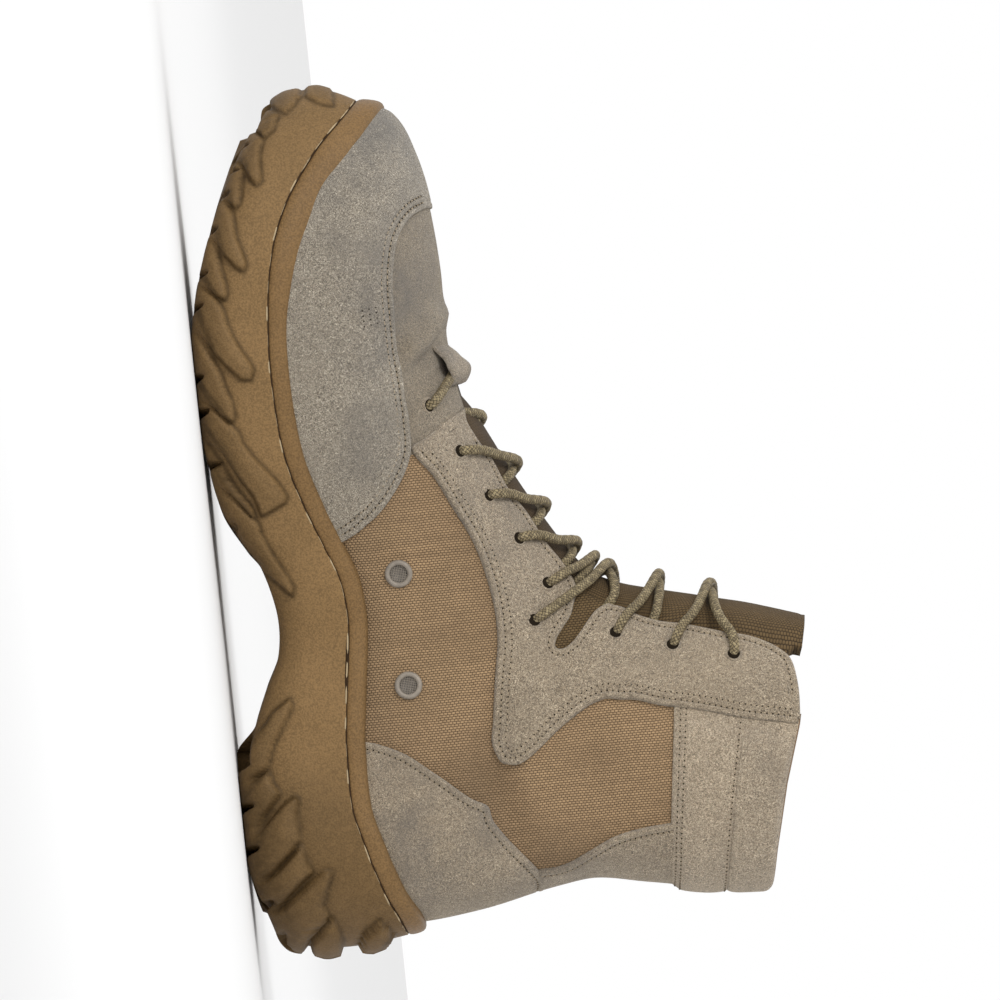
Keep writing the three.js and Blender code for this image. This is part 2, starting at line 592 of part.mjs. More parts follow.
// Lace strand from an eyelet on one side, over the tongue, towards the next eyelet on the other side.
function strand(lower, upper, side, lift, reach) {
  const start = onSide(...lower);
  const end = onSide(...upper);
  const shares = [0, 0.3, 0.5, 0.7, reach];
  return cordSolid(
    shares.map((share) => {
      const s = start.s + (end.s - start.s) * share;
      const v = side * (start.v + (-end.v - start.v) * share);
      return offsetPoint(s, v, laceLift + lift * Math.sin(Math.PI * share));
    }),
  );
}

function makeCrossing(i) {
  const top = i === eyelets.length - 2;
  const reach = top ? 1 : 0.78;
  const over = strand(eyelets[i], eyelets[i + 1], 1, 3.4, reach);
  const under = strand(eyelets[i], eyelets[i + 1], -1, 1.4, reach);
  return over.add(under);
}

// The first bar leaves both first eyelets for the toe and runs through the keeper at the foot of the throat.
function makeToeBar() {
  const { s, v } = onSide(...eyelets[0]);
  return cordSolid(
    [1, 0.75, 0.5, 0.2, 0, -0.2, -0.5, -0.75, -1].map((share) => {
      const slide = 1 - Math.abs(share) ** 1.6;
      return offsetPoint(s + (keeper.bar - s) * slide, v * share, laceLift + (keeper.barLift - laceLift) * slide);
    }),
  );
}

// The suede loop at the foot of the throat, rooted on the toe side, that holds the first lace bar.
function makeLaceKeeper() {
  const arch = (s) => Math.sin((Math.PI * (s - keeper.from)) / (keeper.to - keeper.from)) ** 0.6;
  const low = (s) => gap + (keeper.barLift + laceThickness / 2 + 0.6) * arch(Math.min(s, keeper.to - 1e-9));
  return patch(keeper.from, keeper.to, 8, () => keeper.reach, low, (s) => low(s) + keeper.thickness, 6);
}

// ---- assembly ----

const boot = new THREE.Group();

function add(name, solidOrGeometry, material) {
  const geometry = solidOrGeometry.isBufferGeometry ? solidOrGeometry : geometryOf(solidOrGeometry);
  const mesh = new THREE.Mesh(geometry, material);
  mesh.name = name;
  boot.add(mesh);
  return mesh;
}

add("outsole", makeOutsole(), rubber);
add("welt", makeWelt(), rubber);
add("upper", makeUpper(), nylon);
add("tongue", makeTongue(), darkNylon);
add("insole", makeInsole(), foam);
add("toe_guard", makeToeGuard(), suede);
add("heel_counter", makeHeelCounter(), suede);
add("backstay", makeBackstay(), suede);
add("collar", makeCollar(), suede);
add("eyestay_inner", makeEyestay(1), suede);
add("eyestay_outer", makeEyestay(-1), suede);
for (const [name, place] of Object.entries(vents)) {
  const { geometry, seat, turn } = makeVent(place);
  const vent = add(name, geometry, paintedMetal);
  vent.position.copy(seat);
  vent.quaternion.copy(turn);
}
add("lace_keeper", makeLaceKeeper(), suede);
add("lace_bar", makeToeBar(), cord);
for (let i = 1; i + 1 < eyelets.length; i++) add(`lace_crossing_${i + 1}`, makeCrossing(i), cord);

const box = new THREE.Box3().setFromObject(boot, true);
const middle = box.getCenter(new THREE.Vector3());
boot.position.set(-middle.x, -middle.y, -box.min.z);

export default boot;
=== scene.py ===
import itertools
import math

import bmesh
import bpy
import numpy as np
from mathutils import Matrix, Vector


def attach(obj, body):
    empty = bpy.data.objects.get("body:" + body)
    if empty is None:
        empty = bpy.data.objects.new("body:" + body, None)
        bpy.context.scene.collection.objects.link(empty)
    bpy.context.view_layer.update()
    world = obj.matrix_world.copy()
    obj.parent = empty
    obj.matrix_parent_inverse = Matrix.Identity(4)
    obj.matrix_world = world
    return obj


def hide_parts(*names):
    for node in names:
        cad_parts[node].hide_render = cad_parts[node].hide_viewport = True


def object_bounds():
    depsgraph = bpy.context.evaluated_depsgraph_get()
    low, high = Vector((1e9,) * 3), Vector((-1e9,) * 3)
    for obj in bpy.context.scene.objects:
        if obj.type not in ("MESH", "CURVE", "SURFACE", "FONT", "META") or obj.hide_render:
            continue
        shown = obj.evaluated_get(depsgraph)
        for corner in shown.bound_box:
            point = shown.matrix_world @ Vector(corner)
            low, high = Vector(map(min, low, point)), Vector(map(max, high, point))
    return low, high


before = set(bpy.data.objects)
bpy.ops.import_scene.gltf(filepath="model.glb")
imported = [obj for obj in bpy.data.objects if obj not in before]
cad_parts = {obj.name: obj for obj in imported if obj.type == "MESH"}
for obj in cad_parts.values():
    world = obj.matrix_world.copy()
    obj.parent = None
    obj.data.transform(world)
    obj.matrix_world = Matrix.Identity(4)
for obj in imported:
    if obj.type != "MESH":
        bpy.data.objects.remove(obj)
packedBounds = [list(corner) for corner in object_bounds()]
scene = bpy.context.scene

print("frame loaded, nodes:", len(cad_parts))

# where the back of the heel lies in the frame
bootPlace = np.array([round(packedBounds[0][0] * 1000, 3), -0.65, 0.0])
wall = 2.8  # nylon, foam and lining
overlay = 1.9  # top of the suede pieces over the form
soleLength = 312.0


# Vectors brought to a length of one.
def unit(ways):
    return ways / np.maximum(np.linalg.norm(ways, axis=-1, keepdims=True), 1e-9)


# How far along a line each of its points lies.
def runOf(line):
    return np.concatenate([[0], np.cumsum(np.linalg.norm(np.diff(line, axis=0), axis=1))])


def smoothStep(low, high, value):
    t = np.clip((value - low) / (high - low), 0, 1)
    return t * t * (3 - 2 * t)


# Sections of the form, toe to collar: the front-line point, the sole or back-line point, the half-width,
# the share of the way down where it is widest, the share of width left at the foot, the sideways shift
# of the low and top ends, and the exponent of the upper curve.
sectionColumns = ("topX", "topZ", "lowX", "lowZ", "width", "belly", "foot", "centre", "ridge", "crown")
sections = np.array([
    (301.5, 76.5, 300, 66.5, 8, 0.6, 0.9, 7, 7, 2.2),
    (299.5, 80, 297.5, 62, 17, 0.62, 0.92, 7, 7, 2.2),
    (294.5, 83.5, 292, 54, 26, 0.64, 0.94, 6.5, 6.5, 2.2),
    (287, 86.3, 284, 45, 34, 0.66, 0.95, 6, 6, 2.2),
    (275.5, 89.2, 272, 36, 41.5, 0.68, 0.95, 5, 5.5, 2.15),
    (260, 91.2, 257, 30.2, 46.5, 0.7, 0.95, 4, 5, 2.1),
    (243, 92.3, 240, 27.4, 49.5, 0.71, 0.95, 3, 4.5, 2.05),
    (225, 92.4, 221, 26, 50.5, 0.72, 0.95, 1.5, 4, 1.95),
    (208, 93.4, 201, 26.6, 50, 0.72, 0.95, 0, 3.5, 1.8),
    (193, 98, 181, 30.4, 47.5, 0.72, 0.94, -1.5, 3, 1.7),
    (177, 105.3, 160, 36, 44, 0.7, 0.92, -3, 2, 1.65),
    (161, 113.3, 139, 43.2, 40.5, 0.68, 0.9, -4, 1, 1.65),
    (146, 122, 117, 45.7, 38, 0.66, 0.9, -4, 0.5, 1.65),
    (134, 130, 95, 43, 37, 0.64, 0.92, -3, 0, 1.7),
    (127, 137, 73, 40.2, 36.8, 0.62, 0.94, -2, 0, 1.75),
    (124, 143, 52, 40.2, 36.6, 0.6, 0.94, -1, 0, 1.8),
    (122.2, 148, 33, 44.6, 36.2, 0.58, 0.9, 0, 0, 1.85),
    (121, 152.3, 18, 50.4, 36, 0.56, 0.7, 0, 0, 1.9),
    (119.9, 156.3, 10.4, 55, 35.8, 0.54, 0.42, 0, 0, 1.9),
    (118.8, 160.3, 8.2, 62, 35.6, 0.53, 0, 0, 0, 1.95),
    (117.2, 166, 10.5, 84, 35.6, 0.52, 0, 0, 0, 1.95),
    (115, 173.5, 14.5, 104, 36, 0.5, 0, 0, 0, 2),
    (112.5, 181, 17.5, 124, 36.8, 0.5, 0, 0, 0, 2),
    (110, 188.5, 13.8, 145, 37.8, 0.5, 0, 0, 0, 2),
    (107, 196.5, 10, 165, 38.6, 0.5, 0, 0, 0, 2),
    (104, 204, 8.5, 181, 39, 0.5, 0, 0, 0, 2),
    (101, 211.5, 8, 196, 39, 0.5, 0, 0, 0, 2),
    (97.5, 219, 8, 209, 39, 0.5, 0, 0, 0, 2),
])
firstBack = 19  # first section whose low end is on the back line
lastSection = len(sections) - 1
nose = {"x": 300.75, "y": 7.0, "z": 71.5, "bulge": 1.6}


# Smooth value of a column at fractional rows: a cubic through each row whose slope there is half the
# difference of its neighbours.
def atRow(values, row):
    last = len(values) - 1
    start = np.clip(np.floor(row).astype(int), 0, last - 1)
    t = np.clip(row, 0, last) - start
    a, b, c, d = (values[np.clip(start + k, 0, last)] for k in (-1, 0, 1, 2))
    t2, t3 = t * t, t * t * t
    return (
        (2 * t3 - 3 * t2 + 1) * b + (t3 - 2 * t2 + t) * (c - a) / 2
        + (3 * t2 - 2 * t3) * c + (t3 - t2) * (d - b) / 2
    )


# Fractional row of a growing column at the values x.
def rowAt(column, x):
    x = np.clip(x, column[0], column[-1])
    start = np.clip(np.searchsorted(column, x, side="right") - 1, 0, len(column) - 2)
    return start + (x - column[start]) / (column[start + 1] - column[start])


# Point of the form at section s and share v, from -1 at the outer low edge over 0 at the ridge to 1 at
# the inner low edge. Each section is a superellipse quarter down to its widest place and another below
# it. Past section 0 the nose closes as a quarter round, and behind, a share over 1 goes on round the
# back line.
def formPoint(s, v):
    s, v = np.broadcast_arrays(np.asarray(s, float), np.asarray(v, float))
    row = np.clip(s, 0, lastSection)
    get = {name: atRow(sections[:, k], row) for k, name in enumerate(sectionColumns)}
    side, share = np.sign(v), np.abs(v)
    past = (share > 1) & (s >= firstBack)
    side = np.where(past, -side, side)
    share = np.clip(np.where(past, 2 - share, share), 0, 1)
    belly, crown = get["belly"], get["crown"]
    foot = np.maximum(get["foot"], 0)
    upper = np.clip(share, 0, 0.5) * math.pi
    downUpper = belly * (1 - np.maximum(np.cos(upper), 0) ** (2 / crown))
    outUpper = np.sin(upper) ** (2 / crown)
    power = 2.4  # of the lower curve
    tuck = 1 - foot ** power
    lower = (np.clip(share, 0.5, 1) - 0.5) * 2 * np.arcsin(np.sqrt(tuck))
    downLower = belly + (1 - belly) * (np.sin(lower) ** 2 / tuck) ** (1 / power)
    outLower = np.maximum(1 - np.sin(lower) ** 2, 0) ** (1 / power)
    down = np.where(share <= 0.5, downUpper, downLower)
    out = np.where(share <= 0.5, outUpper, outLower)
    middle = get["ridge"] + (get["centre"] - get["ridge"]) * down
    point = np.stack([
        get["topX"] + (get["lowX"] - get["topX"]) * down,
        middle + side * get["width"] * out,
        get["topZ"] + (get["lowZ"] - get["topZ"]) * down,
    ], -1)
    turn = np.clip(-s, 0, 1)[..., None] * math.pi / 2
    hub = np.array([nose["x"], nose["y"], nose["z"]])
    return hub + (point - hub) * np.cos(turn) + np.array([nose["bulge"], 0, 0]) * np.sin(turn)


# Point and outward normal of the form, the normal from small steps along s and v.
def formFrame(s, v):
    step = 0.015
    along = formPoint(np.minimum(s + step, lastSection), v) - formPoint(np.asarray(s) - step, v)
    around = formPoint(s, np.asarray(v) + step) - formPoint(s, np.asarray(v) - step)
    return formPoint(s, v), unit(np.cross(around, along))


# Section and share of the form's points at x and z seen from the side, by halving.
def onSide(x, z):
    x, z = np.broadcast_arrays(np.asarray(x, float), np.asarray(z, float))

    def miss(s):
        tx, tz, lx, lz = (atRow(sections[:, k], s) for k in range(4))
        return (tx - lx) * (z - lz) - (tz - lz) * (x - lx)

    low, high = np.zeros(x.shape), np.full(x.shape, float(lastSection))
    for _ in range(36):
        middle = (low + high) / 2
        found = miss(low) * miss(middle) <= 0
        low, high = np.where(found, low, middle), np.where(found, middle, high)
    s = (low + high) / 2
    top = formPoint(s, 0.0)
    wanted = np.hypot(x - top[..., 0], z - top[..., 2])
    near, far = np.zeros(x.shape), np.ones(x.shape)
    for _ in range(36):
        v = (near + far) / 2
        p = formPoint(s, v)
        short = np.hypot(p[..., 0] - top[..., 0], p[..., 2] - top[..., 2]) < wanted
        near, far = np.where(short, v, near), np.where(short, far, v)
    return s, (near + far) / 2


# Section and share of the form's points nearest to targets, by Gauss-Newton steps from a first guess.
def settle(s, v, target):
    step = 0.01
    for _ in range(4):
        alongS = (formPoint(s + step, v) - formPoint(s - step, v)) / (2 * step)
        alongV = (formPoint(s, v + step) - formPoint(s, v - step)) / (2 * step)
        rest = target - formPoint(s, v)
        a, b, c = (alongS * alongS).sum(-1), (alongS * alongV).sum(-1), (alongV * alongV).sum(-1)
        p, q = (alongS * rest).sum(-1), (alongV * rest).sum(-1)
        det = np.maximum(a * c - b * b, 1e-6)
        s = s + np.clip((p * c - q * b) / det, -0.5, 0.5)
        v = v + np.clip((q * a - p * b) / det, -0.1, 0.1)
    return s, v


# Smooth curve through knots at fractional knot numbers: a cubic whose slopes weigh the neighbours by their
# distances, so that uneven knots don't overshoot.
def smoothLine(knots, places):
    knots = np.asarray(knots, float)
    gaps = np.maximum(np.linalg.norm(np.diff(knots, axis=0), axis=1), 1e-6)[:, None]
    slopes = np.diff(knots, axis=0) / gaps
    tangents = np.empty_like(knots)
    tangents[1:-1] = (slopes[:-1] * gaps[1:] + slopes[1:] * gaps[:-1]) / (gaps[1:] + gaps[:-1])
    tangents[0], tangents[-1] = slopes[0], slopes[-1]
    start = np.clip(np.floor(places).astype(int), 0, len(knots) - 2)
    t = (places - start)[..., None]
    h = gaps[start]
    t2, t3 = t * t, t * t * t
    return (
        (2 * t3 - 3 * t2 + 1) * knots[start] + (t3 - 2 * t2 + t) * h * tangents[start]
        + (3 * t2 - 2 * t3) * knots[start + 1] + (t3 - t2) * h * tangents[start + 1]
    )


# Fractional knot numbers an even distance apart, along the longer of the lines given.
def evenPlaces(lines, spacing):
    steps = np.max([np.linalg.norm(np.diff(line, axis=0), axis=1) for line in lines], axis=0)
    run = np.concatenate([[0], np.cumsum(steps)])
    count = max(int(round(run[-1] / spacing)), 2)
    return np.interp(np.linspace(0, run[-1], count + 1), run, np.arange(len(run)))


# Points of a line at an even distance, and how far along each is.
def evenPoints(line, spacing):
    run = runOf(line)
    places = np.arange(spacing / 2, run[-1], spacing)
    return np.stack([np.interp(places, run, line[:, k]) for k in range(line.shape[1])], -1), places


# Least distance of points from a line of straight pieces, and how far along the line it lies.
def lineDistance(points, line):
    flat = points.reshape(-1, points.shape[-1])
    starts, ways = line[:-1], np.diff(line, axis=0)
    lengths = np.maximum((ways * ways).sum(1), 1e-12)
    run = np.concatenate([[0], np.cumsum(np.sqrt(lengths))])
    best, place = np.empty(len(flat)), np.empty(len(flat))
    for part in np.array_split(np.arange(len(flat)), max(len(flat) // 4000, 1)):
        to = flat[part, None] - starts
        t = np.clip((to * ways).sum(-1) / lengths, 0, 1)
        miss = ((to - t[..., None] * ways) ** 2).sum(-1)
        k = miss.argmin(1)
        rows = np.arange(len(part))
        best[part] = np.sqrt(miss[rows, k])
        place[part] = run[k] + t[rows, k] * np.sqrt(lengths[k])
    return best.reshape(points.shape[:-1]), place.reshape(points.shape[:-1])


# Depth inside a closed side outline, negative outside.
def insideDepth(points, outline):
    outline = np.asarray(outline, float)
    closed = np.vstack([outline, outline[:1]])
    depth, _ = lineDistance(points, closed)
    x, z = points[..., 0, None], points[..., 1, None]
    ax, az = closed[:-1].T
    bx, bz = closed[1:].T
    crosses = (az > z) != (bz > z)
    hit = x < (bx - ax) * (z - az) / np.where(bz == az, 1e-9, bz - az) + ax
    return np.where((crosses & hit).sum(-1) % 2 == 1, depth, -depth)


# Soft troughs and ridges of the upper. For each: depth below the skin (a ridge is negative), half-width,
# and its line seen from the side.
creases = {
    "ankle fold": (2.8, 5.5, [(95, 97.5), (72.9, 93), (54.6, 92.9), (39.5, 96.8), (22, 104)]),
    "roll over the ankle fold": (-1.4, 7, [(92, 108), (70, 104), (52, 104), (38, 108), (24, 116)]),
    "roll under the ankle fold": (-1.3, 6, [(84, 85), (66, 82), (50, 82)]),
    "shaft fold": (1.3, 5, [(76, 132), (58, 128), (40, 131)]),
    "instep fold": (1.2, 5, [(150, 84), (134, 76), (118, 72)]),
    "vamp fold": (1.9, 4, [(231, 88), (226, 80), (217, 75), (206, 72)]),
    "flex fold": (1.6, 4.5, [(214, 90), (208, 82), (199, 76), (190, 72)]),
    "flex roll": (-1.3, 5, [(222, 90), (217, 83), (207, 77), (196, 73)]),
    "keeper fold": (2.5, 2.6, [(222, 92), (215, 88), (209, 84), (204, 78)]),
    "keeper roll": (-2.0, 3.5, [(228, 94), (221, 86), (214, 80)]),
    "second keeper fold": (1.4, 2.4, [(213, 96), (206, 90), (199, 82), (196, 77)]),
    "notch wrinkle": (1.0, 2.2, [(98, 116), (90, 111), (82, 109)]),
    "second notch wrinkle": (0.9, 2.2, [(96, 122), (88, 119), (80, 119)]),
    "vamp puff": (-1.1, 2.6, [(227, 83), (223, 88), (216, 87), (213, 81), (219, 77), (225, 79)]),
    "quarter fold": (1.1, 4, [(112, 88), (104, 76), (99, 62)]),
    "guard dent": (1.3, 8, [(232, 60), (224, 52), (214, 50)]),
    "guard roll": (-1.3, 9, [(208, 60), (196, 54), (184, 52)]),
}


# Height of the skin over the form: each crease is a bell across its line that fades as a half sine at
# both ends, and a few crossing waves make a slow unevenness.
def relief(point):
    x, y, z = point[..., 0], point[..., 1], point[..., 2]
    height = np.zeros(x.shape)
    seen = np.stack([x, z], -1)
    for depth, width, knots in creases.values():
        line = smoothLine(knots, np.linspace(0, len(knots) - 1, 13))
        away, place = lineDistance(seen, line)
        fade = np.sin(math.pi * np.clip(place / runOf(line)[-1], 0.04, 0.96)) ** 0.5
        height -= depth * fade * np.exp(-((away / width) ** 2))
    side = np.sign(y)
    wave = (
        np.sin(x / 11.3 + z / 17.1 + side * 0.7) * np.sin(z / 9.7 - x / 23.0)
        + 0.6 * np.sin(x / 5.9 - z / 8.3 + 1.1) * np.sin(z / 6.1 + x / 13.0 + side)
    )
    return height + 0.3 * wave * smoothStep(0, 12, np.abs(y - 3))


# Point of the boot's skin at a lift over the form.
def skin(s, v, lift=0.0):
    point, normal = formFrame(s, v)
    return point + normal * (lift + relief(point))[..., None]


# Four-cornered faces of a grid of points, which may close on itself either way.
def gridFaces(rows, columns, closeRows=False, closeColumns=False, start=0):
    lastR, lastC = rows - (not closeRows), columns - (not closeColumns)
    r, c = np.meshgrid(np.arange(lastR), np.arange(lastC), indexing="ij")
    nextR, nextC = (r + 1) % rows, (c + 1) % columns
    corners = [r * columns + c, r * columns + nextC, nextR * columns + nextC, nextR * columns + c]
    return np.stack(corners, -1).reshape(-1, 4) + start


# The same faces for every one of a number of equal small shapes.
def repeatedFaces(faces, count):
    size = faces.max() + 1
    return (faces[None] + (np.arange(count) * size)[:, None, None]).reshape(-1, faces.shape[1])


# Points of a top and a bottom grid in one list.
def bothSides(top, bottom):
    return np.concatenate([top.reshape(-1, 3), bottom.reshape(-1, 3)])


# Two directions across a normal, at right angles to each other.
def acrossOf(normal, up):
    across = unit(np.cross(normal, np.array(up)))
    return across, np.cross(normal, across)


# Puts points in millimetres and four-cornered faces into a piece of the boot. Doubles are merged, so
# that seams and poles close, and faces are turned outwards.
def makePiece(name, points, faces, materials, faceMaterial=None, uv=None, values=None, weld=True):
    places = (np.asarray(points, float).reshape(-1, 3) + bootPlace) / 1000
    faces = np.asarray(faces)
    mesh = bpy.data.meshes.new(name)
    mesh.vertices.add(len(places))
    mesh.vertices.foreach_set("co", places.astype(np.float32).ravel())
    mesh.loops.add(faces.size)
    mesh.loops.foreach_set("vertex_index", faces.astype(np.int32).ravel())
    mesh.polygons.add(len(faces))
    mesh.polygons.foreach_set("loop_start", np.arange(0, faces.size, faces.shape[1], dtype=np.int32))
    mesh.polygons.foreach_set("use_smooth", np.full(len(faces), True))
    for material in materials:
        mesh.materials.append(material)
    if faceMaterial is not None:
        mesh.polygons.foreach_set("material_index", np.asarray(faceMaterial, np.int32))
    mesh.update(calc_edges=True)
    if uv is not None:
        layer = mesh.uv_layers.new(name="cloth")
        layer.data.foreach_set("uv", np.asarray(uv, np.float32).reshape(-1, 2)[faces.ravel()].ravel())
    for key, value in (values or {}).items():
        attribute = mesh.attributes.new(key, "FLOAT", "POINT")
        attribute.data.foreach_set("value", np.asarray(value, np.float32).ravel())
    if weld:
        work = bmesh.new()
        work.from_mesh(mesh)
        bmesh.ops.remove_doubles(work, verts=work.verts, dist=2e-6)
        bmesh.ops.dissolve_degenerate(work, edges=work.edges, dist=1e-7)
        bmesh.ops.recalc_face_normals(work, faces=work.faces)
        work.to_mesh(mesh)
        work.free()
    mesh.validate()
    piece = bpy.data.objects.new(name.replace(" ", "_"), mesh)
    scene.collection.objects.link(piece)
    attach(piece, "root")
    return piece


# Faces of a solid whose top and bottom are grids of the same size. skip names a side where it joins its
# twin.
def solidFaces(rows, columns, skip=(), start=0):
    count = rows * columns
    index = np.arange(count).reshape(rows, columns)
    faces = [gridFaces(rows, columns, start=start), gridFaces(rows, columns, start=start + count)[:, ::-1]]
    edges = {
        "first row": index[0], "last row": index[-1],
        "first column": index[:, 0], "last column": index[:, -1],
    }
    for name, edge in edges.items():
        if name not in skip:
            a, b = edge[:-1] + start, edge[1:] + start
            faces.append(np.stack([a, b, b + count, a + count], -1))
    return np.concatenate(faces)


# Joins solids from pairs of grids, such as the two halves of a piece.
def joinSolids(solids):
    points, faces, values, start = [], [], {}, 0
    for top, bottom, skip, extra in solids:
        rows, columns = top.shape[:2]
        points.append(bothSides(top, bottom))
        faces.append(solidFaces(rows, columns, skip, start))
        for key, value in extra.items():
            values.setdefault(key, []).append(np.concatenate([value.ravel(), value.ravel()]))
        start += 2 * rows * columns
    values = {key: np.concatenate(value) for key, value in values.items()}
    return np.concatenate(points), np.concatenate(faces), values


# Adds a shader node. Its inputs are values or other nodes' outputs.
def addNode(tree, kind, inputs=None, **settings):
    made = tree.nodes.new("ShaderNode" + kind)
    for key, value in settings.items():
        setattr(made, key, value)
    for key, value in (inputs or {}).items():
        if isinstance(value, bpy.types.NodeSocket):
            tree.links.new(value, made.inputs[key])
        else:
            made.inputs[key].default_value = value
    return made


def newMaterial(name, roughness=0.9, **sockets):
    material = bpy.data.materials.new(name)
    material.use_nodes = True
    tree = material.node_tree
    shader = tree.nodes["Principled BSDF"]
    shader.inputs["Roughness"].default_value = roughness
    for key, value in sockets.items():
        shader.inputs[key.replace("_", " ")].default_value = value
    return material, tree, shader


def calc(tree, operation, a, b=0.0):
    return addNode(tree, "Math", {0: a, 1: b}, operation=operation).outputs[0]


def ramp(tree, value, low, high):
    return addNode(tree, "MapRange", {"Value": value, "From Min": low, "From Max": high}).outputs["Result"]


def noise(tree, place, scale, detail=3.0, roughness=0.6, distortion=0.0):
    inputs = {"Vector": place, "Scale": scale, "Detail": detail, "Roughness": roughness}
    inputs["Distortion"] = distortion
    return addNode(tree, "TexNoise", inputs).outputs["Fac"]


# Mix of two colours, each a tint of red, green and blue or a node's output.
def mixed(tree, share, first, second):
    first, second = ((*c, 1.0) if isinstance(c, tuple) else c for c in (first, second))
    return addNode(tree, "Mix", {0: share, 6: first, 7: second}, data_type="RGBA").outputs[2]


# A colour with a tint laid over it where the mask is high.
def tinted(tree, body, mask, strength, tint):
    return mixed(tree, calc(tree, "MULTIPLY", mask, strength), body, tint)


def toned(tint, factor):
    return tuple(factor * c for c in tint)


# The dirtAndShade value: real dirt on most pieces, painted shade in the sole's lug creases, over its heel
# and on the tongue.
def dirtAndShadeValue(tree):
    return addNode(tree, "Attribute", attribute_name="dirtAndShade").outputs["Fac"]


# Gives the shader its colour and, from a height, its bump.
def dress(tree, shader, body, height=None, strength=1.0, distance=0.001):
    tree.links.new(body, shader.inputs["Base Color"])
    if height is not None:
        made = addNode(tree, "Bump", {"Height": height, "Strength": strength, "Distance": distance})
        tree.links.new(made.outputs["Normal"], shader.inputs["Normal"])


# Suede: grains about a millimetre across between a dark and a light tint, under slow clouds, with dirt
# where the piece's dirtAndShade value is high.
def suede(name, base, dark, light, soilAndShade=(0.13, 0.12, 0.11), grain=1.0):
    material, tree, shader = newMaterial(
        name, 0.95, Sheen_Weight=0.25, Sheen_Roughness=0.5, Specular_IOR_Level=0.2,
    )
    place = addNode(tree, "TexCoord").outputs["Object"]
    fine = noise(tree, place, 2000 / grain, 1.5, 0.6, 0.8)
    fleck = noise(tree, place, 1150 / grain, 2.0, 0.7, 3.0)
    pit = noise(tree, place, 900 / grain, 2.5, 0.7, 1.5)
    cloud = noise(tree, place, 60, 4.0, 0.6)
    wide = noise(tree, place, 18, 3.0, 0.5)
    body = mixed(tree, ramp(tree, fine, 0.42, 0.58), dark, base)
    body = tinted(tree, body, ramp(tree, fleck, 0.53, 0.62), 0.9, light)
    body = tinted(tree, body, ramp(tree, pit, 0.45, 0.35), 0.7, toned(dark, 0.6))
    body = tinted(tree, body, ramp(tree, cloud, 0.42, 0.72), 0.35, toned(base, 0.6))
    body = tinted(tree, body, ramp(tree, wide, 0.45, 0.75), 0.3, toned(base, 1.25))
    body = tinted(tree, body, dirtAndShadeValue(tree), ramp(tree, cloud, 0.25, 0.6), soilAndShade)
    height = calc(tree, "ADD", calc(tree, "MULTIPLY", fine, 0.6), calc(tree, "ADD", fleck, pit))
    dress(tree, shader, body, height, 1.0, 0.0006)
    return material


# Woven cloth: rows of yarn up the cloth map, each showing as bricks set half a brick on from the next
# row's, with painted shade in the gaps, painted highlights on the crowns, and a few paler and darker rows.
def weave(name, base, dark, pitch, brick, wearAndShade=0.3):
    material, tree, shader = newMaterial(name, 0.85, Specular_IOR_Level=0.25)
    coords = addNode(tree, "TexCoord")
    place = coords.outputs["Object"]
    split = addNode(tree, "SeparateXYZ", {0: coords.outputs["UV"]})
    wobble = calc(tree, "MULTIPLY", noise(tree, place, 90, 3.0), 0.0009)
    u = calc(tree, "DIVIDE", calc(tree, "ADD", split.outputs[0], wobble), pitch)
    row = calc(tree, "FLOOR", u)
    shift = calc(tree, "MULTIPLY", calc(tree, "MODULO", calc(tree, "ABSOLUTE", row), 2.0), 0.5)
    v = calc(tree, "ADD", calc(tree, "DIVIDE", calc(tree, "ADD", split.outputs[1], wobble), brick), shift)

    def across(value, power):  # 1 at the middle, 0 at both sides, by a superellipse
        off = calc(tree, "ABSOLUTE", calc(tree, "SUBTRACT", calc(tree, "FRACT", value), 0.5))
        share = calc(tree, "POWER", calc(tree, "MULTIPLY", off, 2.0), power)
        return calc(tree, "SQRT", calc(tree, "SUBTRACT", 1.0, share))

    height = calc(tree, "MULTIPLY", across(u, 2.0), across(v, 3.0))
    cell = addNode(tree, "CombineXYZ", {0: row, 1: calc(tree, "FLOOR", v)}).outputs[0]
    tone = addNode(tree, "TexWhiteNoise", {"Vector": cell}, noise_dimensions="3D").outputs["Value"]
    yarn = addNode(tree, "TexWhiteNoise", {"W": row}, noise_dimensions="1D").outputs["Value"]
    paleHighlight = calc(tree, "ADD", calc(tree, "MULTIPLY", tone, 0.4), calc(tree, "MULTIPLY", yarn, 0.25))
    cloud = noise(tree, place, 45, 4.0)
    # painted shade in the gaps between yarns; below, painted highlights on the yarn crowns, mixed with
    # random tone
    body = mixed(tree, ramp(tree, height, 0.2, 0.85), dark, base)
    body = tinted(tree, body, paleHighlight, ramp(tree, height, 0.3, 0.9), toned(base, 1.6))
    body = tinted(tree, body, ramp(tree, cloud, 0.42, 0.72), wearAndShade, toned(base, 0.6))
    # the tint for the dirtAndShade value: dirt on the nylon and lining, painted shade on the tongue
    body = tinted(tree, body, dirtAndShadeValue(tree), 0.8, (0.06, 0.042, 0.026))
    dress(tree, shader, body, height, 0.8, 0.0005)
    return material


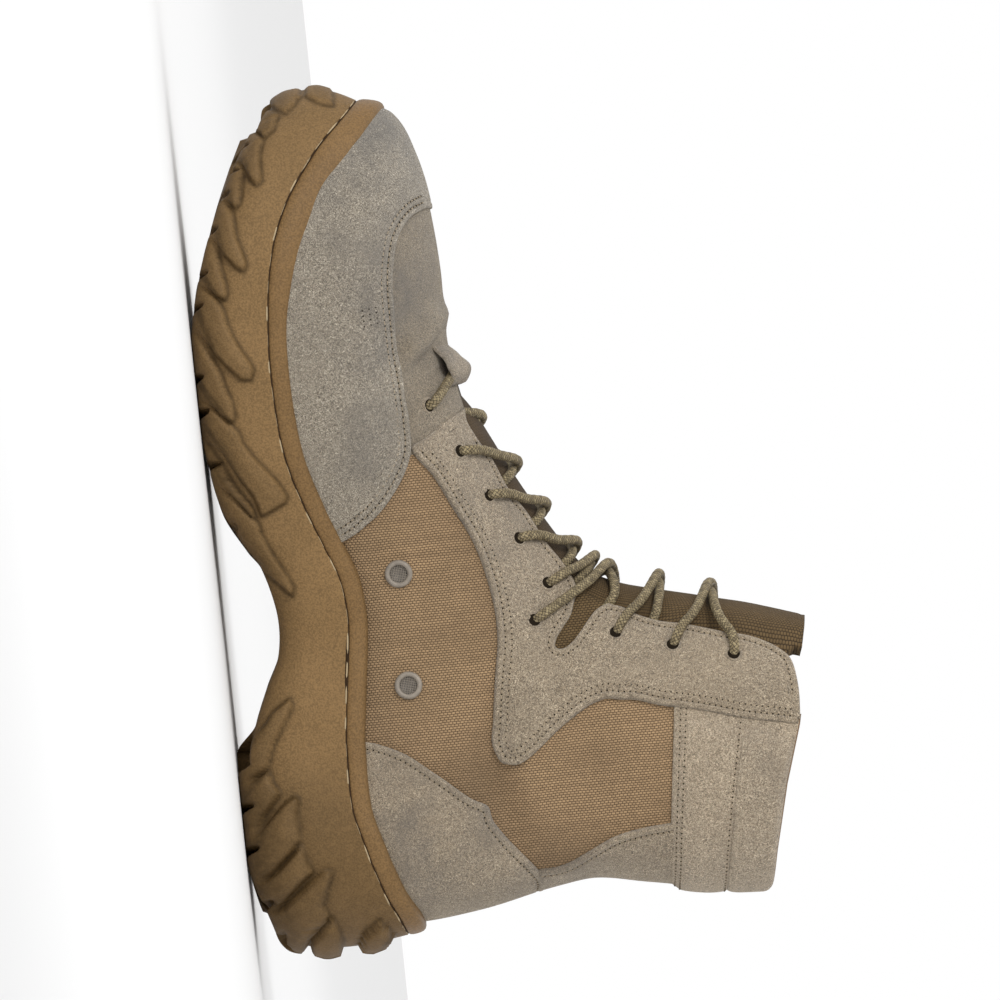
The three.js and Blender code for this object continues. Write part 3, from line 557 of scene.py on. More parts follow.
# Moulded rubber: a fine pebbled grain, slow stains, and a brown tint for dirt and painted shade in the
# dirtAndShade value.
def rubber(name, base, stain, soilAndShade, roughness=0.62):
    material, tree, shader = newMaterial(name, roughness, Specular_IOR_Level=0.22)
    place = addNode(tree, "TexCoord").outputs["Object"]
    grain = noise(tree, place, 1500, 2.0, 0.6)
    cloud = noise(tree, place, 45, 5.0, 0.6)
    fleck = noise(tree, place, 300, 4.0, 0.7)
    body = mixed(tree, ramp(tree, cloud, 0.35, 0.7), base, stain)
    body = tinted(tree, body, ramp(tree, grain, 0.45, 0.62), 0.45, toned(base, 1.45))
    body = tinted(tree, body, ramp(tree, grain, 0.48, 0.36), 0.5, toned(base, 0.6))
    body = tinted(tree, body, dirtAndShadeValue(tree), ramp(tree, fleck, -0.3, 0.6), soilAndShade)
    height = calc(tree, "ADD", grain, calc(tree, "MULTIPLY", fleck, 0.6))
    dress(tree, shader, body, height, 0.6, 0.0004)
    return material


# Braided cord: two sets of strands that wind opposite ways round the cord, with painted shade in the gaps
# between strands, pale flecks as painted highlights on their crests, and a few dark flecks.
def braid(name, base, paleHighlight, dark):
    material, tree, shader = newMaterial(name, 0.75)
    split = addNode(tree, "SeparateXYZ", {0: addNode(tree, "TexCoord").outputs["UV"]})
    along = calc(tree, "MULTIPLY", split.outputs[0], 820.0)
    around = calc(tree, "MULTIPLY", split.outputs[1], 6.0)
    first, second = calc(tree, "ADD", along, around), calc(tree, "SUBTRACT", along, around)
    firstCell, secondCell = calc(tree, "FLOOR", first), calc(tree, "FLOOR", second)

    def ridge(value):  # 1 at the middle of a strand, 0 at its sides
        off = calc(tree, "SUBTRACT", calc(tree, "FRACT", value), 0.5)
        return calc(tree, "SUBTRACT", 1.0, calc(tree, "MULTIPLY", calc(tree, "ABSOLUTE", off), 2.0))

    over = calc(tree, "MODULO", calc(tree, "ABSOLUTE", calc(tree, "ADD", firstCell, secondCell)), 2.0)
    ridges = {0: over, 2: ridge(first), 3: ridge(second)}
    height = addNode(tree, "Mix", ridges, data_type="FLOAT").outputs[0]
    cell = addNode(tree, "CombineXYZ", {0: firstCell, 1: secondCell}).outputs[0]
    fleck = addNode(tree, "TexWhiteNoise", {"Vector": cell}, noise_dimensions="3D").outputs["Value"]
    # painted shade in the gaps between strands, then painted highlights on the crests
    body = mixed(tree, ramp(tree, height, 0.05, 0.7), dark, base)
    body = tinted(tree, body, ramp(tree, fleck, 0.5, 1.1), ramp(tree, height, 0.1, 0.5), paleHighlight)
    body = tinted(tree, body, ramp(tree, fleck, 0.3, 0.0), 0.5, dark)
    dress(tree, shader, body, height, 0.9, 0.0005)
    return material


# Thread, paint or shade: one tint under slow clouds.
def plain(name, base, roughness=0.8, metallic=0.0, gloss=0.5):
    material, tree, shader = newMaterial(name, roughness, Metallic=metallic, Specular_IOR_Level=gloss)
    cloud = noise(tree, addNode(tree, "TexCoord").outputs["Object"], 400, 3.0)
    dress(tree, shader, mixed(tree, ramp(tree, cloud, 0.3, 0.7), toned(base, 0.8), toned(base, 1.15)))
    return material


# Tints are base, dark and light for suede; base, gap (painted shade), yarn pitch and brick length for
# cloth;
# base, stain, and the tint for dirt and painted shade for rubber.
finish = {
    "suede": suede("sand suede", (0.41, 0.322, 0.22), (0.155, 0.118, 0.076), (0.84, 0.7, 0.51)),
    "collarSuede": suede(
        "pale collar suede", (0.51, 0.402, 0.283), (0.215, 0.166, 0.11), (0.9, 0.76, 0.56),
    ),
    "guardSuede": suede("grey sand suede", (0.375, 0.32, 0.243), (0.145, 0.12, 0.088), (0.8, 0.71, 0.57)),
    "vampSuede": suede(
        "worn vamp suede", (0.33, 0.264, 0.18), (0.14, 0.11, 0.072), (0.56, 0.465, 0.335), grain=0.9,
    ),
    "nylon": weave("tan woven nylon", (0.31, 0.205, 0.112), (0.06, 0.038, 0.02), 0.0009, 0.0014),
    "tongueCloth": weave(
        "brown tongue cloth", (0.122, 0.079, 0.035), (0.018, 0.011, 0.005), 0.0009, 0.0014,
    ),
    "lining": weave("dark lining", (0.06, 0.045, 0.03), (0.02, 0.014, 0.01), 0.0009, 0.0016),
    "rubber": rubber("tan rubber", (0.206, 0.123, 0.049), (0.157, 0.093, 0.035), (0.068, 0.038, 0.011)),
    "weltRubber": rubber(
        "golden welt rubber", (0.18, 0.104, 0.039), (0.138, 0.077, 0.027), (0.08, 0.056, 0.034), 0.5,
    ),
    "thread": plain("sand thread", (0.36, 0.285, 0.19)),
    "weltThread": plain("pale welt thread", (0.38, 0.29, 0.17)),
    # painted shade inside the needle holes and lace holes
    "hole": plain("painted hole shade", (0.014, 0.01, 0.006), gloss=0.05),
    # painted shade in the groove under the welt
    "groove": plain("dark welt groove shade", (0.035, 0.02, 0.01), gloss=0.1),
    "piping": plain("brown piping", (0.16, 0.09, 0.04)),
    "vent": plain("taupe vent metal", (0.25, 0.215, 0.175), 0.55, 0.2),
    "mesh": plain("dark vent mesh", (0.1, 0.09, 0.08), 0.5, 0.3),
    "cord": braid("khaki lace", (0.275, 0.214, 0.115), (0.44, 0.355, 0.2), (0.035, 0.024, 0.012)),
}
print("finishes made")

# Soft soiled places: x, z, reach along x, reach along z, the side (0 for both) and the strength.
soiled = [
    (150, 102, 42, 22, 0, 0.3),
    (36, 74, 30, 26, 0, 0.22),
    (222, 66, 26, 10, 0, 0.22),
    (268, 62, 34, 26, 0, 0.38),
    (294, 78, 18, 14, 0, 0.45),
    (232, 82, 20, 12, 0, 0.4),
    (205, 60, 30, 12, 1, 0.22),
    (176, 60, 14, 14, 1, 0.3),
    (35, 62, 26, 12, 0, 0.35),
    (52, 88, 22, 10, 1, 0.3),
    (22, 112, 12, 18, 0, 0.3),
    (60, 128, 14, 10, 1, 0.14),
    (100, 52, 60, 6, 0, 0.22),
    (44, 190, 24, 8, 0, 0.22),
]


# Share of soiling at points: a bell round each place, weaker on its other side.
def dirtAt(points):
    x, y, z = points[..., 0], points[..., 1], points[..., 2]
    total = np.zeros(x.shape)
    for spotX, spotZ, wide, high, side, strength in soiled:
        near = np.exp(-(((x - spotX) / wide) ** 2) - ((z - spotZ) / high) ** 2)
        seenSide = np.where(np.sign(y) == side, 1.0, 0.35) if side else 1.0
        total += strength * near * seenSide
    return np.clip(total, 0, 1)


# Each rung joins a point of the throat edge, with the notch, to the point of the outer edge that faces it.
eyestay = {
    "spacing": 1.15, "rows": 12, "freeSecond": True, "thickness": overlay, "stitchRows": (2.6,),
    "frontThin": 0.62,  # share of the thickness lost towards the vamp
    "rungs": [
        (190.6, 96.2, 190.2, 95.4), (186, 98, 186.4, 88.5), (181, 99.9, 181, 80),
        (178, 101, 177.8, 74.8), (175, 102.4, 174.3, 76.4), (171, 104.6, 168.6, 80.6),
        (162, 108.6, 155.9, 87.1), (151, 115.4, 144.3, 92.6), (141, 120.2, 131, 96.6),
        (132, 125.4, 118, 98.6), (124, 128.6, 110, 98.9), (120, 128.9, 104, 98.6),
        (116, 127.6, 98, 97.6), (111, 125.6, 90.8, 96.3), (107, 122.4, 83, 95.1),
        (103.6, 119.9, 76.4, 94.1), (101.4, 119.2, 69, 92.9), (99.9, 120.6, 62.6, 94.6),
        (100.3, 123, 60.3, 98.6), (101.8, 125.4, 60.9, 103.6), (105, 128.6, 65.5, 110.5),
        (108.6, 131.6, 69.5, 115.4), (112.2, 135.2, 74.6, 122.6), (113.6, 138.4, 78.4, 129),
        (112.9, 142, 80, 133.6), (109.3, 150.7, 79.2, 142.5), (105.5, 165.6, 75.6, 156),
        (101.5, 180, 71.9, 171.6), (97.2, 194, 68.6, 182.2), (93.6, 200.2, 66.4, 191.5),
        (87.8, 203.6, 65.2, 197.5), (78, 205.4, 64.3, 201.4), (66, 205, 64, 203.6),
    ],
    "notch": (11, 24),  # first and last rung of the notch
    "tuck": 2.2,  # how far the edge lies inside the rungs' ends, where the suede turns over the throat
}


# The rungs with their throat ends moved in, apart from the notch and the top edge.
def eyestayRungs():
    rungs = np.array(eyestay["rungs"], float)
    ends, feet = rungs[:, :2], rungs[:, 2:]
    way = (feet - ends) / np.linalg.norm(feet - ends, axis=1, keepdims=True)
    number = np.arange(len(rungs))
    first, last = eyestay["notch"]
    away = np.maximum(first - number, number - last)
    tuck = eyestay["tuck"] * np.clip(away / 2.5, 0, 1)  # fades in over the rungs beside the notch
    tuck = np.where(number >= len(rungs) - 3, 0.3, tuck)
    tuck[0] = 0.6
    return np.hstack([ends + way * tuck[:, None], feet])


# The upper shell: its throat edge, its top edge, and the cloth that shows inside the notch.
rungEnds = eyestayRungs()[:, :2]
throatLine = np.concatenate([rungEnds[: eyestay["notch"][0]], rungEnds[eyestay["notch"][1]:-4]])
topLine = np.array([
    (-10, 185.5), (7.7, 188.6), (20, 191.8), (43.5, 197.4), (64.8, 203.8), (78, 204.6), (87.8, 202.6),
    (93.6, 199.2), (97.2, 193),
], float)
notchCloth = [
    (132, 136), (126, 124), (112, 122), (100, 115), (95, 121), (104, 133), (110, 142), (120, 146),
]
shell = {"throatStart": 8.3, "vampEnd": 9.65, "spacing": 2.1, "columns": 72}


# Share v of the throat's edge at sections s, 0 toe-side of the throat.
def throatShare(s):
    ts, tv = onSide(throatLine[:, 0], throatLine[:, 1] + 0.3)
    ts, tv = np.concatenate([[shell["throatStart"], 8.5], ts]), np.concatenate([[0.0, 0.07], tv])
    order = np.argsort(ts)
    return np.interp(s, ts[order], tv[order])


# Section at which the share v meets a line given as z over x, by halving.
def sectionOnLine(v, line, low=19.0, high=27.0):
    order = np.argsort(line[:, 0])
    a, b = np.full(np.shape(v), low), np.full(np.shape(v), high)
    for _ in range(30):
        middle = (a + b) / 2
        p = formPoint(middle, v)
        under = p[..., 2] < np.interp(p[..., 0], line[order, 0], line[order, 1])
        a, b = np.where(under, middle, a), np.where(under, b, middle)
    return (a + b) / 2


# The shell's surface: rows follow the sections up to section 20 and then spread to the top edge; across,
# the share runs from the ridge or throat to the low edge or back line.
def shellGrid():
    s = np.linspace(0, lastSection, 400)
    run = runOf(formPoint(s, 0.45))
    reach = np.interp(24.6, s, run)
    rows = np.interp(np.linspace(0, reach, int(reach / shell["spacing"])), run, s)
    rows = np.concatenate([np.linspace(-0.96, 0, 7)[:-1], rows])
    across = np.linspace(0, 1, shell["columns"])
    nominal = np.repeat(rows[:, None], len(across), 1)
    edge = throatShare(nominal)
    v = edge + (1 - edge) * across
    top = sectionOnLine(v, topLine)
    rest = np.clip((nominal - 20) / (rows[-1] - 20), 0, 1)
    s = np.where(nominal > 20, 20 + rest * (top - 20), nominal)
    edge = throatShare(s)
    v = edge + (1 - edge) * across
    return s, v, rows


# The upper is one hollow wall: suede over the vamp, nylon behind it, brown cloth inside the notch, and
# lining within.
def makeUpperShell():
    s, v, rows = shellGrid()
    count, columns = s.shape
    points, faces, materialOf, start = [], [], [], 0
    for side in (1, -1):
        outer, inner = skin(s, side * v), skin(s, side * v, -wall)
        points += [outer.reshape(-1, 3), inner.reshape(-1, 3)]
        index = np.arange(count * columns).reshape(count, columns) + start
        total = count * columns
        outside = gridFaces(count, columns, start=start)
        strips = []
        low = rows < firstBack
        throat = rows >= shell["throatStart"]
        edges = ((index[:, -1], low), (index[:, 0], throat), (index[0], None), (index[-1], None))
        for edge, keep in edges:
            a, b = edge[:-1], edge[1:]
            strip = np.stack([a, b, b + total, a + total], -1)
            strips.append(strip if keep is None else strip[keep[1:] & keep[:-1] | (keep[1:] != keep[:-1])])
        faces += [outside, outside + total, *strips]
        cloth = np.repeat(np.where(rows[:-1] < shell["vampEnd"], 0, 1), columns - 1)
        seen = outer[:-1, :-1][..., [0, 2]].reshape(-1, 2)
        cloth[insideDepth(seen, notchCloth) > 0] = 3
        materialOf += [cloth, np.full(len(outside), 2), np.full(sum(len(t) for t in strips), 2)]
        start += 2 * total
    points = np.concatenate(points)
    made = [finish["vampSuede"], finish["nylon"], finish["lining"], finish["tongueCloth"]]
    piece = makePiece(
        "upper shell", points, np.concatenate(faces), made, np.concatenate(materialOf),
        uv=points[:, [0, 2]] / 1000, values={"dirtAndShade": dirtAt(points)},
    )
    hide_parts("upper")


# Distances from a free edge at which a panel has rows.
edgeRows = np.array([0, 0, 0.1, 0.3, 0.6, 1.0, 1.5, 2.0, 2.35, 2.65, 2.95, 3.4, 4.2])


# Height of a panel at a distance from its edge: a cut edge rounded over 0.7 mm, a slight swell behind
# it, and a trough where each row of stitches pulls it down.
def panelHeight(distance, thickness, stitchRows):
    rounding = np.sqrt(1 - (1 - np.clip(distance / 0.7, 0, 1)) ** 2)
    height = thickness * (0.45 + 0.55 * rounding) + 0.2 * np.exp(-(((distance - 1.3) / 0.7) ** 2))
    for row in stitchRows:
        height -= 0.34 * np.exp(-(((distance - row) / 0.42) ** 2))
    return height


# Line on the form at a distance from an edge line, on the side towards the guide points.
def insetLine(s, v, guide, distance):
    point, normal = formFrame(s, v)
    way = unit(np.gradient(point, axis=0))
    # the line's way is evened out over its neighbours, so that no fold forms at a corner
    weights = np.exp(-(np.arange(-8, 9) / 3.2) ** 2)
    padded = np.vstack([np.repeat(way[:1], 8, 0), way, np.repeat(way[-1:], 8, 0)])
    way = unit(sum(weight * padded[k:k + len(way)] for k, weight in enumerate(weights)) / weights.sum())
    inward = np.cross(normal, way)
    inward *= np.sign(np.sum(inward * (guide - point)))
    return settle(s, v, point + inward * distance)


# A panel between two rails, each a row of (section, share) knots that face each other. Rows keep their
# distance from the free edges and are spread evenly between them.
def panelGrid(first, second, spacing, middleRows, freeSecond, thickness, stitchRows, endShare=None):
    first, second = np.array(first, float), np.array(second, float)
    places = evenPlaces([formPoint(*first.T), formPoint(*second.T)], spacing)
    scale = np.array([15.0, 120.0])  # rough millimetres for one section and for a whole share
    railA = smoothLine(first * scale, places) / scale
    railB = smoothLine(second * scale, places) / scale
    pointA, pointB = formPoint(*railA.T), formPoint(*railB.T)
    gap = np.linalg.norm(pointA - pointB, axis=1)
    room = edgeRows[-1] * (2.1 if freeSecond else 1.05)
    squeeze = np.minimum(1, gap / room)

    def insets(rail, guide):
        lines = []
        for distance in edgeRows:
            s, v = insetLine(rail[:, 0], rail[:, 1], guide, distance * squeeze[:, None])
            if endShare is not None:
                v[-1] = endShare
            lines.append(np.stack([s, v], -1))
        return np.array(lines)

    rowsA = insets(railA, pointB)
    if freeSecond:
        rowsB = insets(railB, pointA)[::-1]
    else:
        rowsB = railB[None]
    t = np.linspace(0, 1, middleRows + 2)[1:-1, None, None]
    between = rowsA[-1] + (rowsB[0] - rowsA[-1]) * t
    grid = np.concatenate([rowsA, between, rowsB])
    s, v = grid[..., 0], grid[..., 1]
    place = formPoint(s, v)
    distance, _ = lineDistance(place, pointA)
    if freeSecond:
        distance = np.minimum(distance, lineDistance(place, pointB)[0])
    lift = panelHeight(distance, thickness, stitchRows)
    lift[0] = -1.0  # a free edge goes down into the wall
    if freeSecond:
        lift[-1] = -1.0
    return s, v, lift, distance, railA, railB


# One side of an overlay as a top and a bottom grid, thinner at the ridge or towards the vamp where it
# says so.
def overlayHalf(side, first, second, look, skip, endShare=None):
    mirror = np.array([1.0, side])
    s, v, lift, distance, railA, railB = panelGrid(
        np.array(first) * mirror, np.array(second) * mirror,
        look["spacing"], look["rows"], look["freeSecond"], look["thickness"], look["stitchRows"],
        None if endShare is None else side * endShare,
    )
    lift = lift * (1 - look.get("thin", 0.0) * smoothStep(0.3, 0.05, np.abs(v)))
    lift = lift * (1 - look.get("frontThin", 0.0) * smoothStep(172, 185, formPoint(s, v)[..., 0]))
    top, bottom = skin(s, v, lift), skin(s, v, np.minimum(lift - 0.4, -1.2))
    edge = smoothStep(1.3, 0.0, distance)
    return (top, bottom, skip, {"dirtAndShade": np.clip(dirtAt(top) + 0.16 * edge, 0, 1)}), (railA, railB)


# Section and share of each point of a side outline.
def knotsOn(points):
    x, z = np.array(points, float).T
    return np.stack(onSide(x, z), -1)


# Joins an overlay's halves into one piece, and gives back the rail along each half's free edge.
def overlayPiece(node, halves, paint="suede"):
    points, faces, values = joinSolids([half for half, _ in halves])
    piece = makePiece(node.replace("_", " "), points, faces, [finish[paint]], values=values)
    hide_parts(node)
    return [rails[0] for _, rails in halves]


guard = {
    "spacing": 1.5, "rows": 26, "freeSecond": False, "thickness": overlay, "stitchRows": (2.6, 5.0),
    # the free edge seen from the side, rear tip to toe, and the section of the low edge facing each point
    "edge": [
        (146.4, 45.6), (151.9, 55.5), (158.4, 63.5), (166.9, 69.9), (176.8, 74.2), (188.5, 74.8),
        (207.2, 73.6), (227.4, 73.4), (243.8, 74.6), (254, 77.4), (260.5, 82), (263.6, 87.4),
    ],
    "low": [10.3, 10.05, 9.75, 9.4, 9, 8.5, 7.7, 6.7, 5.6, 4.4, 2.9, 1.3],
    "ridge": 263.9,  # x of the edge's crest on the ridge
    "thin": 0.5,  # share of the thickness lost at the ridge
}


def makeToeGuard():
    s = np.linspace(0, 9, 901)
    crest = np.interp(-guard["ridge"], -formPoint(s, 0 * s)[:, 0], s)
    first = np.vstack([knotsOn(guard["edge"]), (crest, 0.0)])
    second = [(s, 1.0) for s in guard["low"]] + [(-0.9, 0.0)]
    second[-2] = (0.5, 0.85)
    halves = [overlayHalf(side, first, second, guard, ("last column",), 0.0) for side in (1, -1)]
    return overlayPiece("toe_guard", halves, "guardSuede")


counter = {
    "spacing": 1.5, "rows": 22, "freeSecond": False, "thickness": overlay, "stitchRows": (2.6,),
    "edge": [
        (74.5, 45.5), (72.6, 52), (66.8, 63), (59.8, 71.4), (50.1, 82.6), (40.1, 90.6), (29.8, 97.6),
        (22.4, 103.4), (18.2, 106.2),
    ],
    "low": [13.75, 13.9, 14.3, 14.7, 15.4, 16.1, 17, 17.8, 18.5],
    "back": (21.1, 1.0),
}


def makeHeelCounter():
    first = np.vstack([knotsOn(counter["edge"]), counter["back"]])
    second = [(s, 1.0) for s in counter["low"]] + [(19.05, 1.0)]
    halves = [overlayHalf(side, first, second, counter, ("last column",), 1.0) for side in (1, -1)]
    return overlayPiece("heel_counter", halves)


backstay = {
    "spacing": 1.5, "rows": 10, "freeSecond": False, "thickness": overlay, "stitchRows": (2.6,),
    "edge": [(20.3, 104.6), (21.4, 111.3), (25.8, 122.8), (30.4, 133.6), (32.6, 145.5), (33.4, 156)],
    "back": [21.02, 21.36, 21.95, 22.46, 23.05, 23.6],
}


def makeBackstay():
    first = knotsOn(backstay["edge"])
    second = [(s, 1.0) for s in backstay["back"]]
    halves = [overlayHalf(side, first, second, backstay, ("last row",)) for side in (1, -1)]
    return overlayPiece("backstay", halves)


def makeEyestay(side, node):
    rungs = eyestayRungs()
    half = overlayHalf(side, knotsOn(rungs[:, :2]), knotsOn(rungs[:, 2:]), eyestay, ())
    overlayPiece(node, [half])
    return half[1]


# The collar's low seam and rim as z over x, its front edge, and how far its outside and inside stand off
# the form.
collar = {
    "low": np.array([(-10, 149), (11.7, 151.7), (33.3, 154.4), (74.4, 159.8), (90, 162)], float),
    "top": np.array([
        (-10, 181.6), (7.7, 185.5), (20, 188), (43.5, 193.8), (64.8, 200.6), (80, 204),
    ], float),
    "front": [(79, 161.2), (77, 172), (73.8, 183), (68.4, 201.6)],
    "fullness": 4.1, "inner": -5.2, "stitchRows": (0.055, 0.1, 0.54), "middleSeam": 0.57, "columns": 90,
}


# Lift of the collar's outside at a share of its height: two padded rolls between the low seam, the
# middle seam and the rim, each a flattened arch.
def collarLift(share):
    middle = collar["middleSeam"]
    t = np.where(share < middle, share / middle, (share - middle) / (1 - middle))
    arch = np.sqrt(np.maximum(1 - np.abs(2 * t - 1) ** 2.6, 0))
    edge = 1.7 + 1.1 * np.clip(share / middle, 0, 1)
    upper = (share >= middle) & (t > 0.5)
    arch = np.where(upper, 1.0, arch)
    lift = edge + (collar["fullness"] - edge) * arch
    return np.minimum(lift, np.interp(share, (0, 0.012, 0.03, 0.16), (0.9, 1.6, 1.9, 5.0)))


# The collar is carried round a section that climbs its outside, turns over the rim and comes down inside.
def makeCollar():
    shares = np.concatenate([
        [0, 0, 0.012, 0.03, 0.055], np.linspace(0.08, 0.5, 12), [0.53, 0.55, 0.56, 0.57, 0.58, 0.59, 0.61],
        np.linspace(0.64, 1, 11),
    ])
    lifts = collarLift(shares)
    lifts[0] = -1.0
    turn = np.linspace(0, math.pi, 13)[1:]
    middle = (collar["fullness"] + collar["inner"]) / 2
    radius = (collar["fullness"] - collar["inner"]) / 2
    inside = np.linspace(0.95, 0.15, 12)
    share = np.concatenate([shares, np.ones(len(turn)), inside])
    rise = np.concatenate([np.zeros(len(shares)), 0.86 * radius * np.sin(turn), np.zeros(len(inside))])
    back = collar["inner"] + (collar["inner"] * -0.4) * (0.95 - inside)
    lift = np.concatenate([lifts, middle + radius * np.cos(turn), back])
    frontV = knotsOn(collar["front"])[:, 1]
    frontAt = np.interp(share, np.linspace(0, 1, len(frontV)), frontV)
    across = np.linspace(0, 1, collar["columns"])
    # suede up to the rim, two rows of piping, then lining
    kinds = np.concatenate([
        np.zeros(len(shares) + 3), np.ones(2), np.full(len(turn) - 5 + len(inside), 2),
    ])
    proud = lift[:, None] > 0
    solids = []
    for side in (1, -1):
        v = frontAt[:, None] + (1 - frontAt[:, None]) * across
        low, top = sectionOnLine(v, collar["low"]), sectionOnLine(v, collar["top"])
        s = low + (top - low) * share[:, None]
        point, normal = formFrame(s, side * v)
        up = formPoint(s + 0.05, side * v) - formPoint(s - 0.05, side * v)
        up /= np.linalg.norm(up, axis=-1, keepdims=True)
        # it sinks towards its front edge
        sink = smoothStep(0.17, 0.055, across)
        sunk = lift[:, None] * (1 - sink) + np.minimum(lift[:, None], 1.1) * sink
        full = np.where(proud, sunk, lift[:, None])
        full = full - np.where(proud, 1.6, 0) * smoothStep(0.05, 0.0, across)
        folds = relief(point)
        surface = point + normal * (full + folds)[..., None] + up * rise[:, None, None]
        hidden = point + normal * (-1.4 + folds)[..., None] + up * np.minimum(rise, 1.5)[:, None, None]
        solids.append((surface, hidden, ("last column",), {"dirtAndShade": dirtAt(surface)}))
    points, faces, values = joinSolids(solids)
    rows, columns = len(share), collar["columns"]
    per = np.repeat(kinds[:-1], columns - 1)
    strip = np.full(2 * (columns - 1) + (rows - 1), 2)
    faceKinds = np.concatenate([np.concatenate([per, np.full(len(per), 2), strip])] * 2)
    made = [finish["collarSuede"], finish["piping"], finish["lining"]]
    piece = makePiece(
        "padded collar", points, faces, made, faceKinds,
        uv=points[:, [0, 2]] / 1000, values=values,
    )
    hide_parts("collar")


# The tongue's first and last section, its reach to each side as a share, the half-width of the gap it
# fills, its depth under the eyestays and its thickness.
tongue = {
    "from": 7.75, "to": 25.85, "reach": 0.36, "topReach": 0.2, "gap": 0.2, "rest": -3.3, "thickness": 4.6,
    # how far its crown stands over the form, over the section
    "crown": np.array([
        (7.75, -0.3), (11, -0.2), (14, -1.2), (17, -1.5), (21, -1.0), (24, 0.6), (25.8, 1.4),
    ]),
}


def makeTongue():
    along = np.concatenate([np.linspace(0, 1, 120), [1, 1, 1]])
    out = np.concatenate([np.zeros(120), [0.35, 0.8, 1]])
    across = np.linspace(-1, 1, 61)
    s = tongue["from"] + (tongue["to"] - tongue["from"]) * along[:, None] + 0 * across
    reach = tongue["reach"] + (tongue["topReach"] - tongue["reach"]) * smoothStep(24.0, 25.6, s)
    v = reach * across + 0 * s
    inGap = smoothStep(tongue["gap"] + 0.06, tongue["gap"] - 0.08, np.abs(v))
    opened = smoothStep(8.3, 9.4, s)
    crown = atRow(tongue["crown"][:, 1], rowAt(tongue["crown"][:, 0], s))
    top = tongue["rest"] + (crown - tongue["rest"]) * inGap * opened
    hem = 0.35 * np.exp(-(((s - 25.72) / 0.03) ** 2))
    roundEnd = 2.2 * out[:, None] ** 2
    outer = skin(s, v, top - hem - roundEnd)
    inner = skin(s, v, top - tongue["thickness"] + np.minimum(roundEnd, 1.6))
    # painted shade: darker low down the tongue and along its middle under the laces
    wearAndShade = 0.15 + 0.75 * smoothStep(15.5, 12.5, s) + 0.35 * smoothStep(0.12, 0.02, np.abs(v))
    length = np.cumsum(np.full(outer.shape[:2], 0.0016), 0) * 1000
    cloth = np.stack([outer[..., 1], length], -1).reshape(-1, 2) / 1000
    piece = makePiece(
        "tongue", bothSides(outer, inner), solidFaces(*s.shape), [finish["tongueCloth"]],
        uv=np.concatenate([cloth, cloth]), values={"dirtAndShade": np.concatenate([wearAndShade.ravel(), wearAndShade.ravel()])},
    )
    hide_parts("tongue")


# Half-widths of the sole's outline from above, before its ends are rounded, and its centre line.
solePlan = np.array([
    (0, 41, 42, 0), (46, 41.5, 42.5, 0), (80, 38.5, 43, 0), (115, 36.5, 45.5, 0), (150, 43, 50, 0),
    (185, 52, 55, 0), (215, 56, 56, 0.5), (245, 55.5, 54.5, 2), (280, 54, 52, 5), (312, 52, 51, 7),
])
# Heights of the tread, of the body above the lugs and of the seam under the welt, over x.
soleLines = np.array([
    (0, 7, 11, 57.5), (10, 5, 9.5, 54.3), (20, 2.2, 7.5, 49), (32, 0, 5.6, 44.6), (50, 0, 4.8, 40),
    (74, 0, 5.4, 40.2), (84, 2.6, 8, 41.4), (97, 11, 13.5, 43.1), (108, 21, 19, 44.6),
    (120, 23, 20.4, 45.5), (134, 20, 17.8, 44.2), (146, 12, 13.8, 40.1), (160, 4.5, 8.5, 34.9),
    (176, 1.4, 6, 30.1), (189, 0, 4.8, 28), (210, 0, 4.5, 27.2), (224, 0, 4.9, 27.8),
    (242, 3.4, 8, 29.9), (258, 8.2, 12.4, 34), (272, 13.4, 17.6, 41), (286, 19.6, 23.6, 52.4),
    (298, 25.8, 29.4, 66), (312, 33, 36, 78),
])
# The ends of the outline: where each starts to round, with which exponent, and where it closes.
heelRound = {"start": 46.0, "power": 2.3, "limit": 0.0}
toeRound = {"start": 222.0, "power": 2.4, "limit": soleLength}


def overX(table, column, x):
    return atRow(table[:, column], rowAt(table[:, 0], x))


def seamZ(x):
    return overX(soleLines, 3, x)


# The sole's outline from above at a share of the way round from the heel, along the inner side first:
# the plan's half-width, times a superellipse towards each end.
def outlinePoint(share):
    x = soleLength / 2 * (1 - np.cos(share * 2 * math.pi))
    inner = share <= 0.5
    half = np.where(inner, overX(solePlan, 1, x), overX(solePlan, 2, x))
    for end, past in ((heelRound, x < heelRound["start"]), (toeRound, x > toeRound["start"])):
        t = np.clip(np.abs((x - end["start"]) / (end["limit"] - end["start"])), 0, 1)
        half = np.where(past, half * np.sqrt(np.maximum(1 - t ** end["power"], 0)), half)
    return np.stack([x, overX(solePlan, 3, x) + np.where(inner, half, -half)], -1)


# Ways pointing outward from a closed line seen from above.
def outwardOf(line):
    way = np.roll(line, -1, 0) - np.roll(line, 1, 0)
    way /= np.linalg.norm(way, axis=1, keepdims=True)
    outward = np.stack([way[:, 1], -way[:, 0]], -1)
    return outward if np.sum(outward * (line - line.mean(0))) > 0 else -outward


